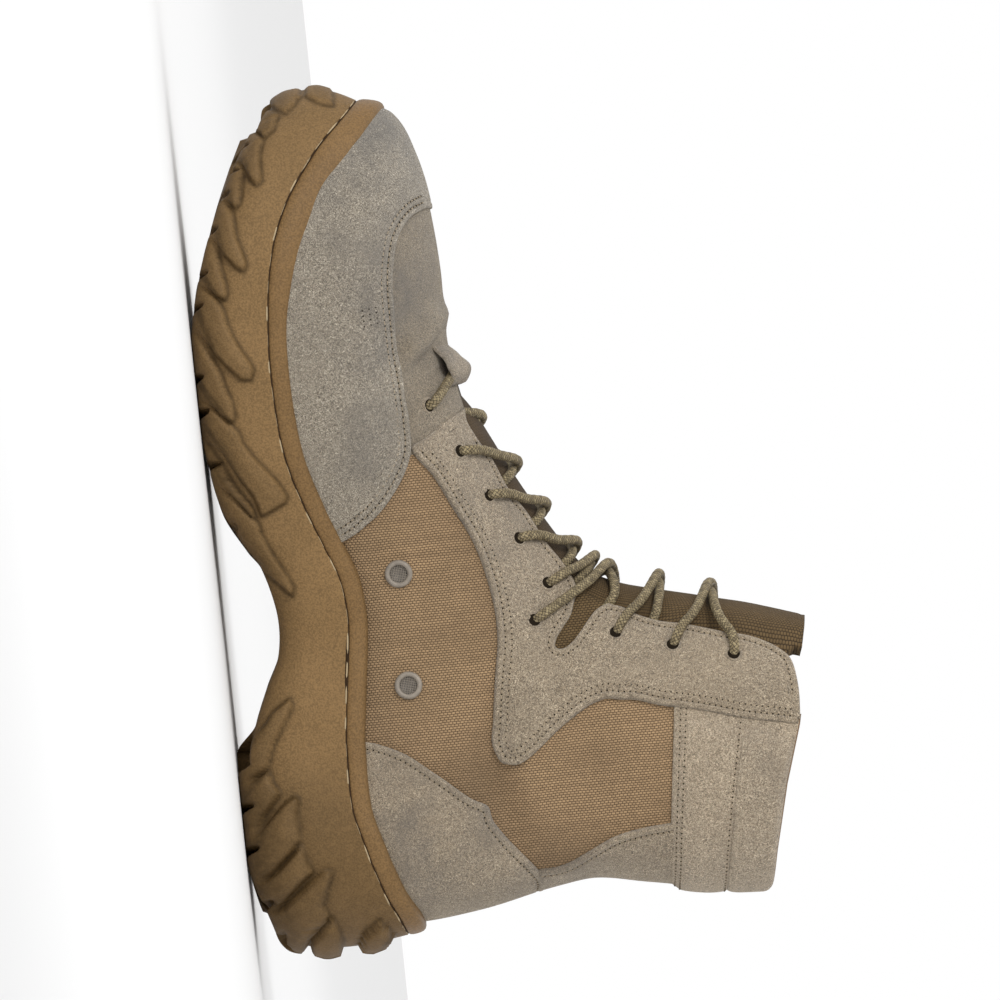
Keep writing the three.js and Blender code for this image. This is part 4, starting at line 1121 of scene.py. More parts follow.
# Lugs as side outlines, toe to heel: x and z, running on below the sole's edge.
lugs = {
    "toe knob": [(303.5, 42.6), (306.5, 46.2), (309, 48.2), (316, 48.6), (316, 38), (306, 38)],
    "toe band": [(305.4, 56.5), (307, 53), (309, 50.4), (316, 50.6), (316, 60), (308, 60), (304.6, 59.8)],
    "toe lug 1": [(303.4, 40), (298.1, 37.6), (295.2, 33.9), (297.9, 32.3), (301, 26), (309, 32)],
    "toe lug 2": [
        (297.7, 31.6), (294.1, 33.6), (291.3, 32.2), (287.6, 31.5), (282.7, 31.6), (279.7, 31.6),
        (278.1, 29.5), (280.1, 27.7), (284, 26.6), (287.8, 26), (290, 20), (299, 25),
    ],
    "toe lug 3": [
        (287.4, 25.6), (284.4, 26), (280.8, 24.6), (276.1, 23.8), (272.4, 22.8), (270.7, 21.2),
        (272.7, 20.2), (277.3, 19), (280, 12), (289, 19),
    ],
    "fore lug 4": [
        (277.3, 18.8), (272.7, 19.6), (267.1, 20.1), (260, 20.5), (253.4, 22.4), (249.9, 23.1),
        (247.5, 21.8), (249.5, 19), (254, 15.8), (259.1, 14.4), (263.9, 13.6), (266, 6), (279, 12),
    ],
    "fore lug 5": [
        (263.7, 13.4), (259.1, 14), (255.1, 13.4), (249.4, 13.9), (243.7, 15), (240.3, 15), (238.2, 14),
        (240, 11.5), (243.8, 9), (247.4, 7.2), (250, 0), (264, 6),
    ],
    "fore lug 6": [
        (247.2, 7), (243.2, 9), (238.5, 11.5), (233.8, 13.2), (229.6, 13.9), (225, 15.3), (219.9, 17.7),
        (215.5, 20.2), (212, 21.7), (208.4, 20.2), (209.1, 16.6), (214.5, 11.9), (218.5, 9.2), (224, 7),
        (231, 5), (235.5, 4.2), (238, -6), (249, 0),
    ],
    "fore lug 7": [
        (235.5, 3.8), (231, 4.4), (225.6, 6), (218, 7.4), (212.5, 9.5), (206.1, 11), (201, 12.7),
        (195.7, 13.2), (194, 12), (197, 9), (204.9, 3.9), (210, 1.6), (212, -8), (236, -6),
    ],
    "fore lug 8": [
        (210, 1.3), (204.9, 3.7), (199.3, 7.2), (193.7, 10.8), (190.4, 13.8), (186.2, 14.8), (181, 18),
        (175.2, 22.6), (170.4, 26.2), (165.3, 28.7), (163.1, 27.7), (161, 23), (159.3, 18.6),
        (162.7, 18), (167, 16.6), (171.7, 13.7), (178.1, 10.6), (183.1, 8.5), (187.2, 5.6), (192.7, 2.8),
        (198.5, 0.8), (199, -8), (211, -8),
    ],
    "fore lug 9": [
        (196, -0.8), (190.5, 1), (185, 3.4), (180.5, 6), (175, 8.3), (169, 11.4), (163, 15.6),
        (159.3, 16.6), (159.5, 15.4), (162.8, 13.4), (168.9, 9.2), (174.5, 5.7), (180.3, 3.6), (186, -7),
        (198, -8),
    ],
    "fore lug 10": [
        (179.9, 3.3), (174.5, 5.4), (168.9, 8.9), (162.8, 13.1), (156.7, 17.3), (152, 18.2),
        (146.9, 20.3), (141.8, 22.8), (136.7, 25.6), (132.4, 27.4), (129.4, 26.7), (131.2, 24.6),
        (134.9, 21.3), (139, 17), (140, 8), (160, 0), (182, -6),
    ],
    "heel fin 1": [
        (92.4, 21.9), (90.1, 22.6), (87.3, 21.3), (81.7, 17.8), (75.7, 14.1), (72.5, 12.9), (68.5, 11.5),
        (65.2, 7.4), (62.2, 4.1), (59.1, 1.2), (56, -6), (73, -6), (73.4, 3.8), (76.9, 6), (81, 9.5),
        (84.8, 12.9), (87.9, 15.1), (90.5, 18.7),
    ],
    "heel block 1": [
        (67.3, 11.8), (62.7, 12.8), (59.1, 14.8), (58.4, 14.7), (54.2, 11.5), (51.2, 8.6), (47.5, 7.4),
        (43.3, 6.4), (42, -6), (55, -6), (58, 1.2), (61.2, 4.2), (64.2, 7.6),
    ],
    "heel fin 2": [
        (55.8, 21.5), (51.1, 20), (46.6, 20.2), (41.3, 20.6), (35.2, 14.6), (30.5, 9.6), (25.8, 4.4),
        (22, -6), (41, -6), (42.6, 5.6), (47, 8.8), (51, 12.3), (55.5, 17), (57, 20),
    ],
    "heel block 2": [
        (39.6, 20.6), (36.4, 21.2), (29.8, 23.3), (29.1, 23), (24.8, 17.7), (20.1, 12.7), (17.6, 8.1),
        (14, -4), (21.5, -4), (25, 4.6), (29.6, 9.9), (34.3, 15),
    ],
    "heel fin 3": [
        (28.6, 31), (25, 29.3), (20.4, 27.4), (17.5, 26.5), (12.2, 27), (9.5, 24.3), (6.5, 20.5),
        (-4, 14), (2, 4), (15, 2), (18.3, 12.6), (22, 17.5), (26, 22.5), (29.6, 28),
    ],
    "heel block 3": [(12, 28.6), (8.7, 29.6), (5.8, 31.1), (-4, 31), (-4, 19), (5, 20.5), (9, 25)],
    "heel fin 4": [(9, 45.5), (7.5, 43.6), (4.9, 39.6), (-4, 35), (-4, 43), (3, 50)],
}
# Where each bar of the tread starts and ends along the sole's edge, from underneath.
treadBars = np.array([
    (7.5, 17.4), (18.6, 25.2), (26.4, 42.2), (43.6, 57.6), (59.2, 73), (140, 158), (160, 179.4),
    (180.6, 197), (199, 209.4), (210.8, 234.8), (236.2, 246.8), (248, 263.2), (264.6, 276.8), (278, 287),
    (288, 297.4), (298.6, 305),
])
soleLook = {
    "columns": 940, "wallRows": 54, "underRows": 22,
    "plate": 3.3,  # how far the lugs stand out
    "round": 1.1,  # rounding of their edges
    "sweep": 0.32, "groove": 9.0,  # the tread's slant, and half its middle groove
}
# The sidewall from the seam down: how far it is set in, and its share of the height. Its upper half
# leans in to meet the welt.
wallProfile = [
    (0, 1.0), (0, 0.84), (0, 0.68), (0.0, 0.5), (0.5, 0.33), (1.5, 0.2), (3.2, 0.09), (6.0, 0.025),
    (10, 0), (14, 0),
]


# The largest value over all lugs at side points, from each point's depth inside a lug's outline.
def overLugs(x, z, margin, value):
    seen = np.stack([x, z], -1)
    share = np.zeros(x.shape)
    for outline in lugs.values():
        low, high = np.min(outline, axis=0) - margin, np.max(outline, axis=0) + margin
        near = (x > low[0]) & (x < high[0]) & (z > low[1]) & (z < high[1])
        if near.any():
            share[near] = np.maximum(share[near], value(insideDepth(seen[near], outline)))
    return share


# Share of a lug's full height: 0 outside every outline, rising as a quarter round over the rounding
# distance inside one, and split by grooves at the toe and heel.
def lugShare(x, y, z):
    def height(depth):
        inside = np.maximum(depth, 0)
        edge = np.sqrt(1 - (1 - np.clip(inside / soleLook["round"], 0, 1)) ** 2)
        return edge * (0.72 + 0.28 * np.clip(inside / 4.5, 0, 1))

    share = overLugs(x, z, 0, height)
    ends = smoothStep(300, 305, x) + smoothStep(12, 6, x)
    split = np.abs(np.mod(np.abs(y - 4 * (x > 156)) + 6, 22) - 11)
    return share * (1 - ends * smoothStep(1.6, 0.4, split))


# Share of painted shade in the creases round the lugs: a bell across every outline.
def lugCreaseShade(x, z):
    return overLugs(x, z, 3, lambda depth: np.exp(-(((depth + 0.3) / 0.75) ** 2)))


# Share of the tread's height underneath: bars that sweep back from the edge to a groove beside the
# centre line, and lozenges along the middle.
def treadShare(x, y):
    middle = overX(solePlan, 3, x)
    away = np.abs(y - middle)
    slid = x + soleLook["sweep"] * (46 - away)
    share = np.zeros(x.shape)
    for start, end in treadBars:
        depth = np.minimum(slid - start, end - slid)
        share = np.maximum(share, np.clip(depth / 1.2, 0, 1))
    share *= smoothStep(soleLook["groove"] + 3.4, soleLook["groove"] + 4.8, away)
    beat = np.where(x < 110, np.mod(x - 6, 17.0) - 8.5, np.mod(x - 140, 18.5) - 9.25)
    lozenge = np.clip((soleLook["groove"] + 1.6 - away - 0.9 * np.abs(beat)) / 1.2, 0, 1)
    share = np.maximum(share, lozenge)
    return np.sqrt(1 - (1 - share) ** 2) * (1 - smoothStep(74, 84, x) * smoothStep(146, 136, x))


# Height over x of the tread or of the body above it, never under the floor.
def soleLow(column, x):
    return np.maximum(overX(soleLines, column, x), 0)


# Points on the centre line level with x.
def centreOf(x):
    centreX = np.clip(x, 16, 296)
    return np.stack([centreX, overX(solePlan, 3, centreX)], -1)


def makeSole():
    # spread the columns evenly along the outline
    dense = np.linspace(0, 1, 4001)
    run = runOf(outlinePoint(dense))
    quarter = np.interp(0.5, dense, run)
    half = np.interp(np.linspace(0, quarter, soleLook["columns"] // 2 + 1), run, dense)
    share = np.concatenate([half, 1 - half[-2:0:-1]])
    outline = outlinePoint(share)
    outward = outwardOf(outline)
    places = np.linspace(0, len(wallProfile) - 1, soleLook["wallRows"])
    profile = smoothLine(np.array(wallProfile) * (1, 40), places) / (1, 40)
    inset, rise = profile[:, :1], np.clip(profile[:, 1:], 0, 1)
    # the top ring lies just outside the welt, and its height is the seam's at the nearest place
    plan, aside, foot = seamPath()
    ledge = np.vstack([plan + aside * 6.3, plan[:1] + aside[:1] * 6.3])
    leanIn, nearest = lineDistance(outline, ledge)
    seam = np.interp(nearest, runOf(ledge), np.append(foot, foot[0]))[None]
    inset = inset + leanIn[None] * np.clip((rise - 0.5) / 0.5, 0, 1) ** 1.7
    x = outline[None, :, 0] - outward[None, :, 0] * inset
    y = outline[None, :, 1] - outward[None, :, 1] * inset
    low = soleLow(2, outline[:, 0])[None]
    z = low + (seam - low) * rise
    base = np.stack([x, y, z], -1)
    # the sidewall's face, as shares turned outward and downward
    down = np.gradient(z, axis=0)
    out = np.gradient(-inset, axis=0)
    length = np.maximum(np.hypot(down, out), 1e-6)
    faceOut = np.maximum(-down / length, 0)
    faceDown = np.maximum(-(out / length), 0)
    # lugs on the sidewall pass into tread bars underneath
    blend = smoothStep(2.5, 6.5, profile[:, :1])
    plate = lugShare(x, y, z) * (1 - blend) + treadShare(x, y) * blend
    drop = np.maximum(low - soleLow(1, outline[:, 0])[None], 0)
    lipShade = smoothStep(0.97, 0.9, rise)
    proud = 1 - 0.55 * smoothStep(284, 300, x) + 0.3 * smoothStep(96, 80, x)
    base[..., :2] += outward[None] * (faceOut * soleLook["plate"] * plate * lipShade * proud)[..., None]
    base[..., 2] -= faceDown * drop * plate
    # underneath, from the last ring to the centre line
    ring = np.stack([x[-1], y[-1]], -1)
    t = np.linspace(0, 1, soleLook["underRows"] + 1)[1:, None, None]
    flat = ring + (centreOf(ring[:, 0]) - ring) * t
    tread = treadShare(flat[..., 0], flat[..., 1])
    lowHere = soleLow(2, flat[..., 0])
    dropHere = np.maximum(lowHere - soleLow(1, flat[..., 0]), 0)
    blendIn = t[..., 0]
    bottomZ = low * (1 - blendIn) + lowHere * blendIn - (drop * (1 - blendIn) + dropHere * blendIn) * tread
    bottom = np.concatenate([flat, bottomZ[..., None]], -1)
    # above, from the seam to the centre line
    topRing = base[0, :, :2]
    t = np.linspace(1, 0, 4)[:-1, None, None]
    cover = topRing + (centreOf(topRing[:, 0]) - topRing) * t
    coverZ = seamZ(cover[..., 0]) * (1 - t[..., 0]) + seam * t[..., 0]
    cover = np.concatenate([cover, coverZ[..., None]], -1)
    points = np.concatenate([cover, base, bottom])
    points[..., 2] = np.maximum(points[..., 2], 0)
    rows, columns = points.shape[:2]
    raised = np.concatenate([np.zeros(cover.shape[:2]), plate, tread])
    x, z = points[..., 0], points[..., 2]
    heights = z - np.concatenate([np.zeros(cover.shape[:2]), np.repeat(low, len(base) + len(flat), 0)])
    # darker on the lug faces and towards the bottom of the sidewall, and painted shade in the creases
    # round the lugs
    dirtAndShade = 0.3 * smoothStep(0.35, 1, raised) + 0.3 * smoothStep(12, 2, heights) + 0.95 * lugCreaseShade(x, z)
    # painted shadow over the heel's hollow side, weaker on the lug faces
    dirtAndShade += 0.55 * smoothStep(80, 44, x) * (1 - 0.45 * smoothStep(0.6, 0.95, raised))
    dirtAndShade += 0.22 * smoothStep(250, 300, x)
    piece = makePiece(
        "outsole", points, gridFaces(rows, columns, closeColumns=True), [finish["rubber"]],
        values={"dirtAndShade": np.clip(dirtAndShade, 0, 1)},
    )
    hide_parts("outsole")


# Outline of the strip over the seam line: how far out from the form's foot, and how high above the seam.
weltProfile = np.array([
    (-3, 0.5), (3.6, 0.5), (3.9, 0.1), (5.0, 0.1), (5.7, 0.4), (6.1, 1.1), (6.2, 2.1), (6.05, 3.5),
    (5.75, 4.9), (5.3, 6.0), (4.6, 6.75), (3.5, 7.15), (1.6, 7.25), (0.4, 7.0), (-3, 6.9),
])


# How much taller the strip is towards the toe.
def weltGrowth(x):
    return 1 + 0.95 * smoothStep(222, 275, x) * (1 - 0.55 * smoothStep(284, 300, x))


# The path of the seam, its outward way and its height: the form's low edge on both sides, in plan,
# evened out over its neighbours so that the toe and heel are round.
def seamPath(count=720):
    s = np.linspace(0, firstBack, 500)
    path = np.concatenate([formPoint(s, 1.0), formPoint(s[::-1][1:], -1.0)])[:, :2]
    path = np.vstack([path, path[:1]])
    run = runOf(path)
    even = np.linspace(0, run[-1], count, endpoint=False)
    plan = np.stack([np.interp(even, run, path[:, k]) for k in range(2)], -1)
    kernel = np.exp(-(np.arange(-12, 13) / 6.0) ** 2)
    kernel /= kernel.sum()
    plan = sum(weight * np.roll(plan, shift, 0) for weight, shift in zip(kernel, range(-12, 13)))
    return plan, outwardOf(plan), seamZ(plan[:, 0])


def makeWelt():
    plan, outward, foot = seamPath()
    out, rise = weltProfile.T
    wobble = 0.12 * np.sin(np.arange(len(plan)) * 0.11) + 0.1 * np.sin(np.arange(len(plan)) * 0.037)
    grow = weltGrowth(plan[:, 0])
    lean = 0.32 * (grow - 1)[:, None] * np.maximum(rise - 2, 0)[None]
    place = plan[:, None] + outward[:, None] * (out[None] + wobble[:, None] * (out > 3) - lean)[..., None]
    z = foot[:, None] + rise[None] * grow[:, None]
    points = np.concatenate([place, z[..., None]], -1)
    piece = makePiece(
        "welt", points, gridFaces(*points.shape[:2], closeRows=True, closeColumns=True),
        [finish["weltRubber"]], values={"dirtAndShade": 0.25 * smoothStep(5.5, 7.1, rise)[None] + 0 * z},
    )
    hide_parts("welt")


# A dark tube of painted shade in the groove under the welt, and its long pale stitches, both carried along
# the seam.
def makeWeltSeam():
    plan, outward, foot = seamPath()
    turn = np.linspace(0, 2 * math.pi, 8, endpoint=False)
    out, rise = 5.1 + 1.0 * np.cos(turn), -0.1 + 0.9 * np.sin(turn)
    place = plan[:, None] + outward[:, None] * out[None, :, None]
    ring = np.concatenate([place, (foot[:, None] + rise[None])[..., None]], -1)
    faces = gridFaces(*ring.shape[:2], closeRows=True, closeColumns=True)
    makePiece("welt groove shade", ring, faces, [finish["groove"]])
    line = np.concatenate([plan + outward * 5.98, foot[:, None] - 0.15], -1)
    stitches("welt stitches", [line], finish["weltThread"], pitch=9.7, length=7.6, radius=0.36, waver=0.12)


# Values given at a line's points, read at distances along it.
def alongLine(line, places, values):
    return np.stack([np.interp(places, runOf(line), values[:, k]) for k in range(3)], -1)


# A circle of radius 1 round each place, from two ways square to each other.
def circleOf(side, third, angle):
    return side[:, None] * np.cos(angle)[None, :, None] + third[:, None] * np.sin(angle)[None, :, None]


# Short rods along lines, one for each stitch: rings of five round the middle line, pinched at both ends.
def stitches(name, lines, material, pitch, length, radius, waver=0.0):
    sides, rings = 5, 5
    points = []
    for line in lines:
        middles, places = evenPoints(line, pitch)
        way = alongLine(line, places + 0.1, line) - alongLine(line, places - 0.1, line)
        way /= np.maximum(np.linalg.norm(way, axis=1, keepdims=True), 1e-9)
        side = np.cross(way, np.cross(way, np.array([0.31, 0.94, 0.12])))
        side /= np.linalg.norm(side, axis=1, keepdims=True)
        third = np.cross(way, side)
        t = np.linspace(-1, 1, rings)
        shift = waver * np.sin(np.arange(len(middles)) * 2.4)[:, None]
        thick = radius * np.sqrt(np.maximum(1 - 0.94 * t ** 4, 0.02))
        angle = np.arange(sides) * 2 * math.pi / sides
        spine = middles[:, None] + way[:, None] * (t * length / 2)[None, :, None]
        spine = spine + side[:, None] * shift[..., None]
        circle = circleOf(side, third, angle)[:, None]
        points.append(spine[:, :, None] + circle * thick[None, :, None, None])
    rods = np.concatenate(points)
    faces = repeatedFaces(gridFaces(rings, sides, closeColumns=True), len(rods))
    makePiece(name, rods, faces, [material], weld=False)


# Painted shade of needle holes: small six-sided dark domes seated on a line.
def needleHoleShades(name, seats, radius=0.3):
    points = []
    for middle, normal in seats:
        circle = circleOf(*acrossOf(normal, (0.2, 0.1, 0.97)), np.arange(6) * math.pi / 3)
        rim = middle[:, None] + circle * radius
        tip = middle[:, None] + circle * 0.01 + normal[:, None] * 0.05
        points.append(np.stack([rim - normal[:, None] * 0.4, rim + normal[:, None] * 0.03, tip], 1))
    domes = np.concatenate(points)
    faces = repeatedFaces(gridFaces(3, 6, closeColumns=True), len(domes))
    makePiece(name, domes, faces, [finish["hole"]], weld=False)


# Lace holes on each side, bottom to top: x and z.
eyelets = np.array([
    (192.7, 83), (174.9, 91.2), (157.8, 100.1), (141.1, 109.4), (123.7, 118.4), (111, 112.4),
    (102.9, 141.6), (96.5, 161.8), (90.8, 183.2),
])
laces = {
    "radius": 1.75, "sides": 14, "spacing": 0.8,
    # where each crossing meets the middle, as a share of the way between its eyelets
    "crossAt": (0.5, 0.66, 0.66, 0.6, 0.3, 0.1, 0.16, 0.14),
}


# A round cord along points: rings square to its way, carried without twist.
def cordPiece(name, paths, nodes):
    points, faces, uvs, start = [], [], [], 0
    angle = np.linspace(0, 2 * math.pi, laces["sides"] + 1)
    for path in paths:
        middle = smoothLine(path, evenPlaces([path], laces["spacing"]))
        way = np.gradient(middle, axis=0)
        way /= np.linalg.norm(way, axis=1, keepdims=True)
        side = np.zeros_like(way)
        last = np.array([0.3, 0.1, 0.9])
        for k in range(len(way)):  # each ring starts from the one before it
            last = last - way[k] * (last @ way[k])
            last = last / np.linalg.norm(last)
            side[k] = last
        third = np.cross(way, side)
        # a slight unevenness along it, and smaller ends
        run = runOf(middle)
        thick = laces["radius"] * (1 + 0.03 * np.sin(run * 1.7))[:, None, None]
        thick = thick * np.where((run < 0.5) | (run > run[-1] - 0.5), 0.6, 1.0)[:, None, None]
        ring = middle[:, None] + thick * circleOf(side, third, angle)
        tips = np.repeat(middle[[0, -1], None], len(angle), 1)
        ring = np.concatenate([tips[:1], ring, tips[1:]])
        run = np.concatenate([run[:1], run, run[-1:]])
        points.append(ring.reshape(-1, 3))
        faces.append(gridFaces(*ring.shape[:2], start=start))
        turns = angle[None] / (2 * math.pi) + 0 * run[:, None]
        wound = np.stack([run[:, None] / 1000 + 0 * angle, turns], -1)
        uvs.append(wound.reshape(-1, 2))
        start += ring.shape[0] * ring.shape[1]
    points, faces = np.concatenate(points), np.concatenate(faces)
    piece = makePiece(name, points, faces, [finish["cord"]], uv=np.concatenate(uvs))
    if nodes:
        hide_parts(*nodes)


# A strand from eyelet i on one side over the tongue, under the other eyestay and up through eyelet i + 1.
def strandPath(i, side, over):
    startS, startV = onSide(*eyelets[i])
    endS, endV = onSide(*eyelets[i + 1])
    throatFrom, throatTo = throatShare(startS), throatShare(endS)
    cross, step = laces["crossAt"][i], endS - startS
    past = cross + (1 - cross) * 0.4
    rows = [
        (startS - 0.1, startV - 0.002, -3.2), (startS, startV - 0.005, 0.8),
        (startS + 0.03, startV - 0.015, 3.0), (startS + 0.2 * cross * step, startV - 0.05, 3.7),
        (startS + 0.5 * cross * step, max(throatFrom - 0.01, 0.02), 3.4),
        (startS + cross * step, 0.0, over),
    ]
    if i == len(eyelets) - 2:
        rows += [
            (startS + 0.78 * step, -throatTo, 3.8), (endS - 0.16 * step, -(endV - 0.055), 3.5),
            (endS - 0.03, -(endV - 0.015), 3.0), (endS, -(endV - 0.005), 0.8),
            (endS + 0.1, -(endV - 0.002), -3.2),
        ]
    else:
        rows += [
            (startS + past * step, -(throatTo - 0.05), 0.6),
            (startS + (past + 0.12) * step, -throatTo - 0.03, -3.0), (endS - 0.1, -endV + 0.02, -4.2),
        ]
    s, v, lift = np.array(rows, float).T
    return skin(s, side * v, lift)


# Crossings of two strands each, the straight bar at the bottom, and the crossing hidden under it.
def makeLaces():
    for i in range(1, len(eyelets) - 1):
        over = 3.4 if i < 4 else 4.4
        paths = [strandPath(i, 1, over), strandPath(i, -1, over - 3.0)]  # one strand over the other
        cordPiece(f"lace crossing {i + 1}", paths, [f"lace_crossing_{i + 1}"])
    s, v = onSide(*eyelets[0])
    shares = np.array([
        1.0, 1.0, 0.97, 0.88, 0.7, 0.5, 0.25, 0, -0.25, -0.5, -0.7, -0.88, -0.97, -1.0, -1.0,
    ])
    slide = 1 - np.abs(shares) ** 1.6
    lift = 2.0 + (1.25 - 2.0) * slide
    lift[[0, -1]], lift[[1, -2]], lift[[2, -3]] = -3.4, 0.0, 1.5
    bar = skin(s + (8.1 - s) * slide, v * shares, lift)
    cordPiece("lace bar", [bar], ["lace_bar"])
    nextS, nextV = onSide(*eyelets[1])
    under = []
    for side in (1, -1):
        rows = [
            (s - 0.1, side * v, -3.4), (s + 0.2, side * v * 0.6, -3.4),
            ((s + nextS) / 2, 0.0, -0.2 + 1.4 * side),
            (nextS - 0.2, -side * nextV * 0.75, -3.6), (nextS, -side * nextV, -4.2),
        ]
        under.append(skin(*np.array(rows, float).T))
    cordPiece("hidden first crossing", under, [])


# Punched holes where the lace goes through the suede, their insides dark as painted shade, with a slightly
# raised lip: rings of given radius and height over the suede.
def makeEyeletHoles():
    radii = np.array([0.01, 2.0, 2.25, 2.6, 3.0, 3.4])
    heights = np.array([0.1, 0.1, 0.12, 0.26, 0.12, -0.5])
    angle = np.linspace(0, 2 * math.pi, 20, endpoint=False)
    points = []
    for side in (1, -1):
        for i, (x, z) in enumerate(eyelets):
            s, v = onSide(x, z)
            _, normal = formFrame(s, side * v)
            seat = skin(s, side * v, overlay if i else 0.05)  # the lowest pair sits on the bare vamp
            across, other = acrossOf(normal, (0.1, 0.2, 0.97))
            circle = across * np.cos(angle)[:, None] + other * np.sin(angle)[:, None]
            cup = seat + radii[:, None, None] * circle + heights[:, None, None] * normal
            points.append(cup.reshape(-1, 3))
    faces = repeatedFaces(gridFaces(len(radii), len(angle), closeColumns=True), len(points))
    # the two inner rings are painted hole shade, the rest suede
    kinds = np.tile(np.repeat([0, 0, 1, 1, 1], len(angle)), len(points))
    points = np.concatenate(points)
    makePiece(
        "eyelet holes", points, faces, [finish["hole"], finish["suede"]], kinds,
        values={"dirtAndShade": np.full(len(points), 0.25)}, weld=False,
    )


ventPlaces = {"vent_front": (133.3, 65.7), "vent_rear": (92.7, 65)}


# A drain vent: a turned rim with a sunk screen of crossed wires.
def makeVent(node, place):
    rim = np.array([
        (0.01, -0.8), (5.0, -0.8), (5.1, 0.2), (4.95, 0.9), (4.5, 1.3), (4.0, 1.4), (3.5, 1.25),
        (3.25, 0.9), (3.15, 0.35), (0.01, 0.3),
    ])
    angle = np.linspace(0, 2 * math.pi, 48, endpoint=False)
    s, v = onSide(*place)
    _, normal = formFrame(s, v)
    seat = skin(s, v, 0.1)
    across, other = acrossOf(normal, (0.02, 0.0, 1.0))
    circle = across * np.cos(angle)[:, None] + other * np.sin(angle)[:, None]
    points = seat + rim[:, 0, None, None] * circle + rim[:, 1, None, None] * normal
    kinds = np.repeat([0] * 8 + [1], len(angle))
    faces = gridFaces(len(rim), len(angle), closeColumns=True)
    name = node.replace("_", " ")
    piece = makePiece(name, points, faces, [finish["vent"], finish["mesh"]], kinds)
    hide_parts(node)
    pitch, thick = 0.62, 0.13
    offsets = np.arange(-4, 5) * pitch
    corners = np.array([(-thick, 0), (0, thick), (thick, 0), (0, -thick)])
    wires = []
    for first, second in ((across, other), (other, across)):
        for offset in offsets:
            reach = math.sqrt(max(3.15 ** 2 - offset ** 2, 0.05))
            ends = seat + offset * first + np.array([-reach, reach])[:, None] * second + normal * 0.42
            wires.append(ends[:, None] + corners[:, :1] * first + corners[:, 1:] * normal)
    faces = repeatedFaces(gridFaces(2, 4, closeColumns=True), len(wires))
    makePiece(name + " wires", np.array(wires), faces, [finish["vent"]], weld=False)


# The keeper's first and last section, its reach to each side as a share, its rise and its thickness.
keeper = {"from": 7.6, "to": 8.56, "reach": 0.135, "rise": 4.1, "thickness": 1.5}


# A suede loop that arches up from the vamp over the bottom of the laces.
def makeKeeper():
    t = np.linspace(0, 1, 40)[:, None]
    across = np.linspace(-1, 1, 19)[None]
    s = keeper["from"] + (keeper["to"] - keeper["from"]) * t + 0 * across
    v = keeper["reach"] * across + 0 * s
    arch = np.sin(math.pi * t ** 1.45) ** 0.8 * (1 - 0.08 * across ** 2)
    edge = (np.sqrt(1 - np.abs(across) ** 4) * 0.75 + 0.25) * (0.1 + 0.9 * smoothStep(0, 0.3, t))
    low = -0.3 + 0.4 * smoothStep(0, 0.2, t) + keeper["rise"] * arch
    top, bottom = skin(s, v, low + keeper["thickness"] * edge), skin(s, v, low)
    points = bothSides(top, bottom)
    piece = makePiece(
        "lace keeper", points, solidFaces(*s.shape), [finish["suede"]],
        values={"dirtAndShade": np.full(len(points), 0.5)},
    )
    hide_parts("lace_keeper")


# The insole fills the form's low edge, with its rim turned up.
def makeInsole():
    s = np.linspace(0.6, 18.4, 120)
    inner, outer = formPoint(s, 0.97)[:, :2], formPoint(s, -0.97)[:, :2]
    middle = (inner + outer) / 2
    across = np.linspace(-1, 1, 41)
    plan = middle[:, None] + (inner - outer)[:, None] / 2 * across[None, :, None] * 0.93
    foot = seamZ(np.clip(plan[..., 0], 0, 312))
    bowl = 1.6 * across[None] ** 4
    top = np.concatenate([plan, (foot + 4.2 + bowl)[..., None]], -1)
    bottom = np.concatenate([plan, (foot + 0.4)[..., None]], -1)
    points = bothSides(top, bottom)
    piece = makePiece(
        "insole", points, solidFaces(*top.shape[:2]), [finish["lining"]], uv=points[:, :2] / 1000,
        values={"dirtAndShade": np.zeros(len(points))},
    )
    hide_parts("insole")


makeUpperShell()
print("upper shell made")
guardRails = makeToeGuard()
counterRails = makeHeelCounter()
backstayRails = makeBackstay()
eyestayRails = [makeEyestay(1, "eyestay_inner"), makeEyestay(-1, "eyestay_outer")]
print("overlays made")
makeCollar()
makeTongue()
makeInsole()
print("collar, tongue and insole made")
makeSole()
makeWelt()
makeWeltSeam()
print("sole and welt made")
makeLaces()
makeEyeletHoles()
makeKeeper()
for node, place in ventPlaces.items():
    makeVent(node, place)
print("laces, eyelets and vents made")


# A point inside a one-edged panel for each of its rail's points.
def inwardGuide(rail):
    s, v = rail[:, 0], rail[:, 1]
    return formPoint(s, np.clip(np.abs(v) + 0.15, 0, 1) * np.sign(v + 1e-9))


seamPitch = 2.1


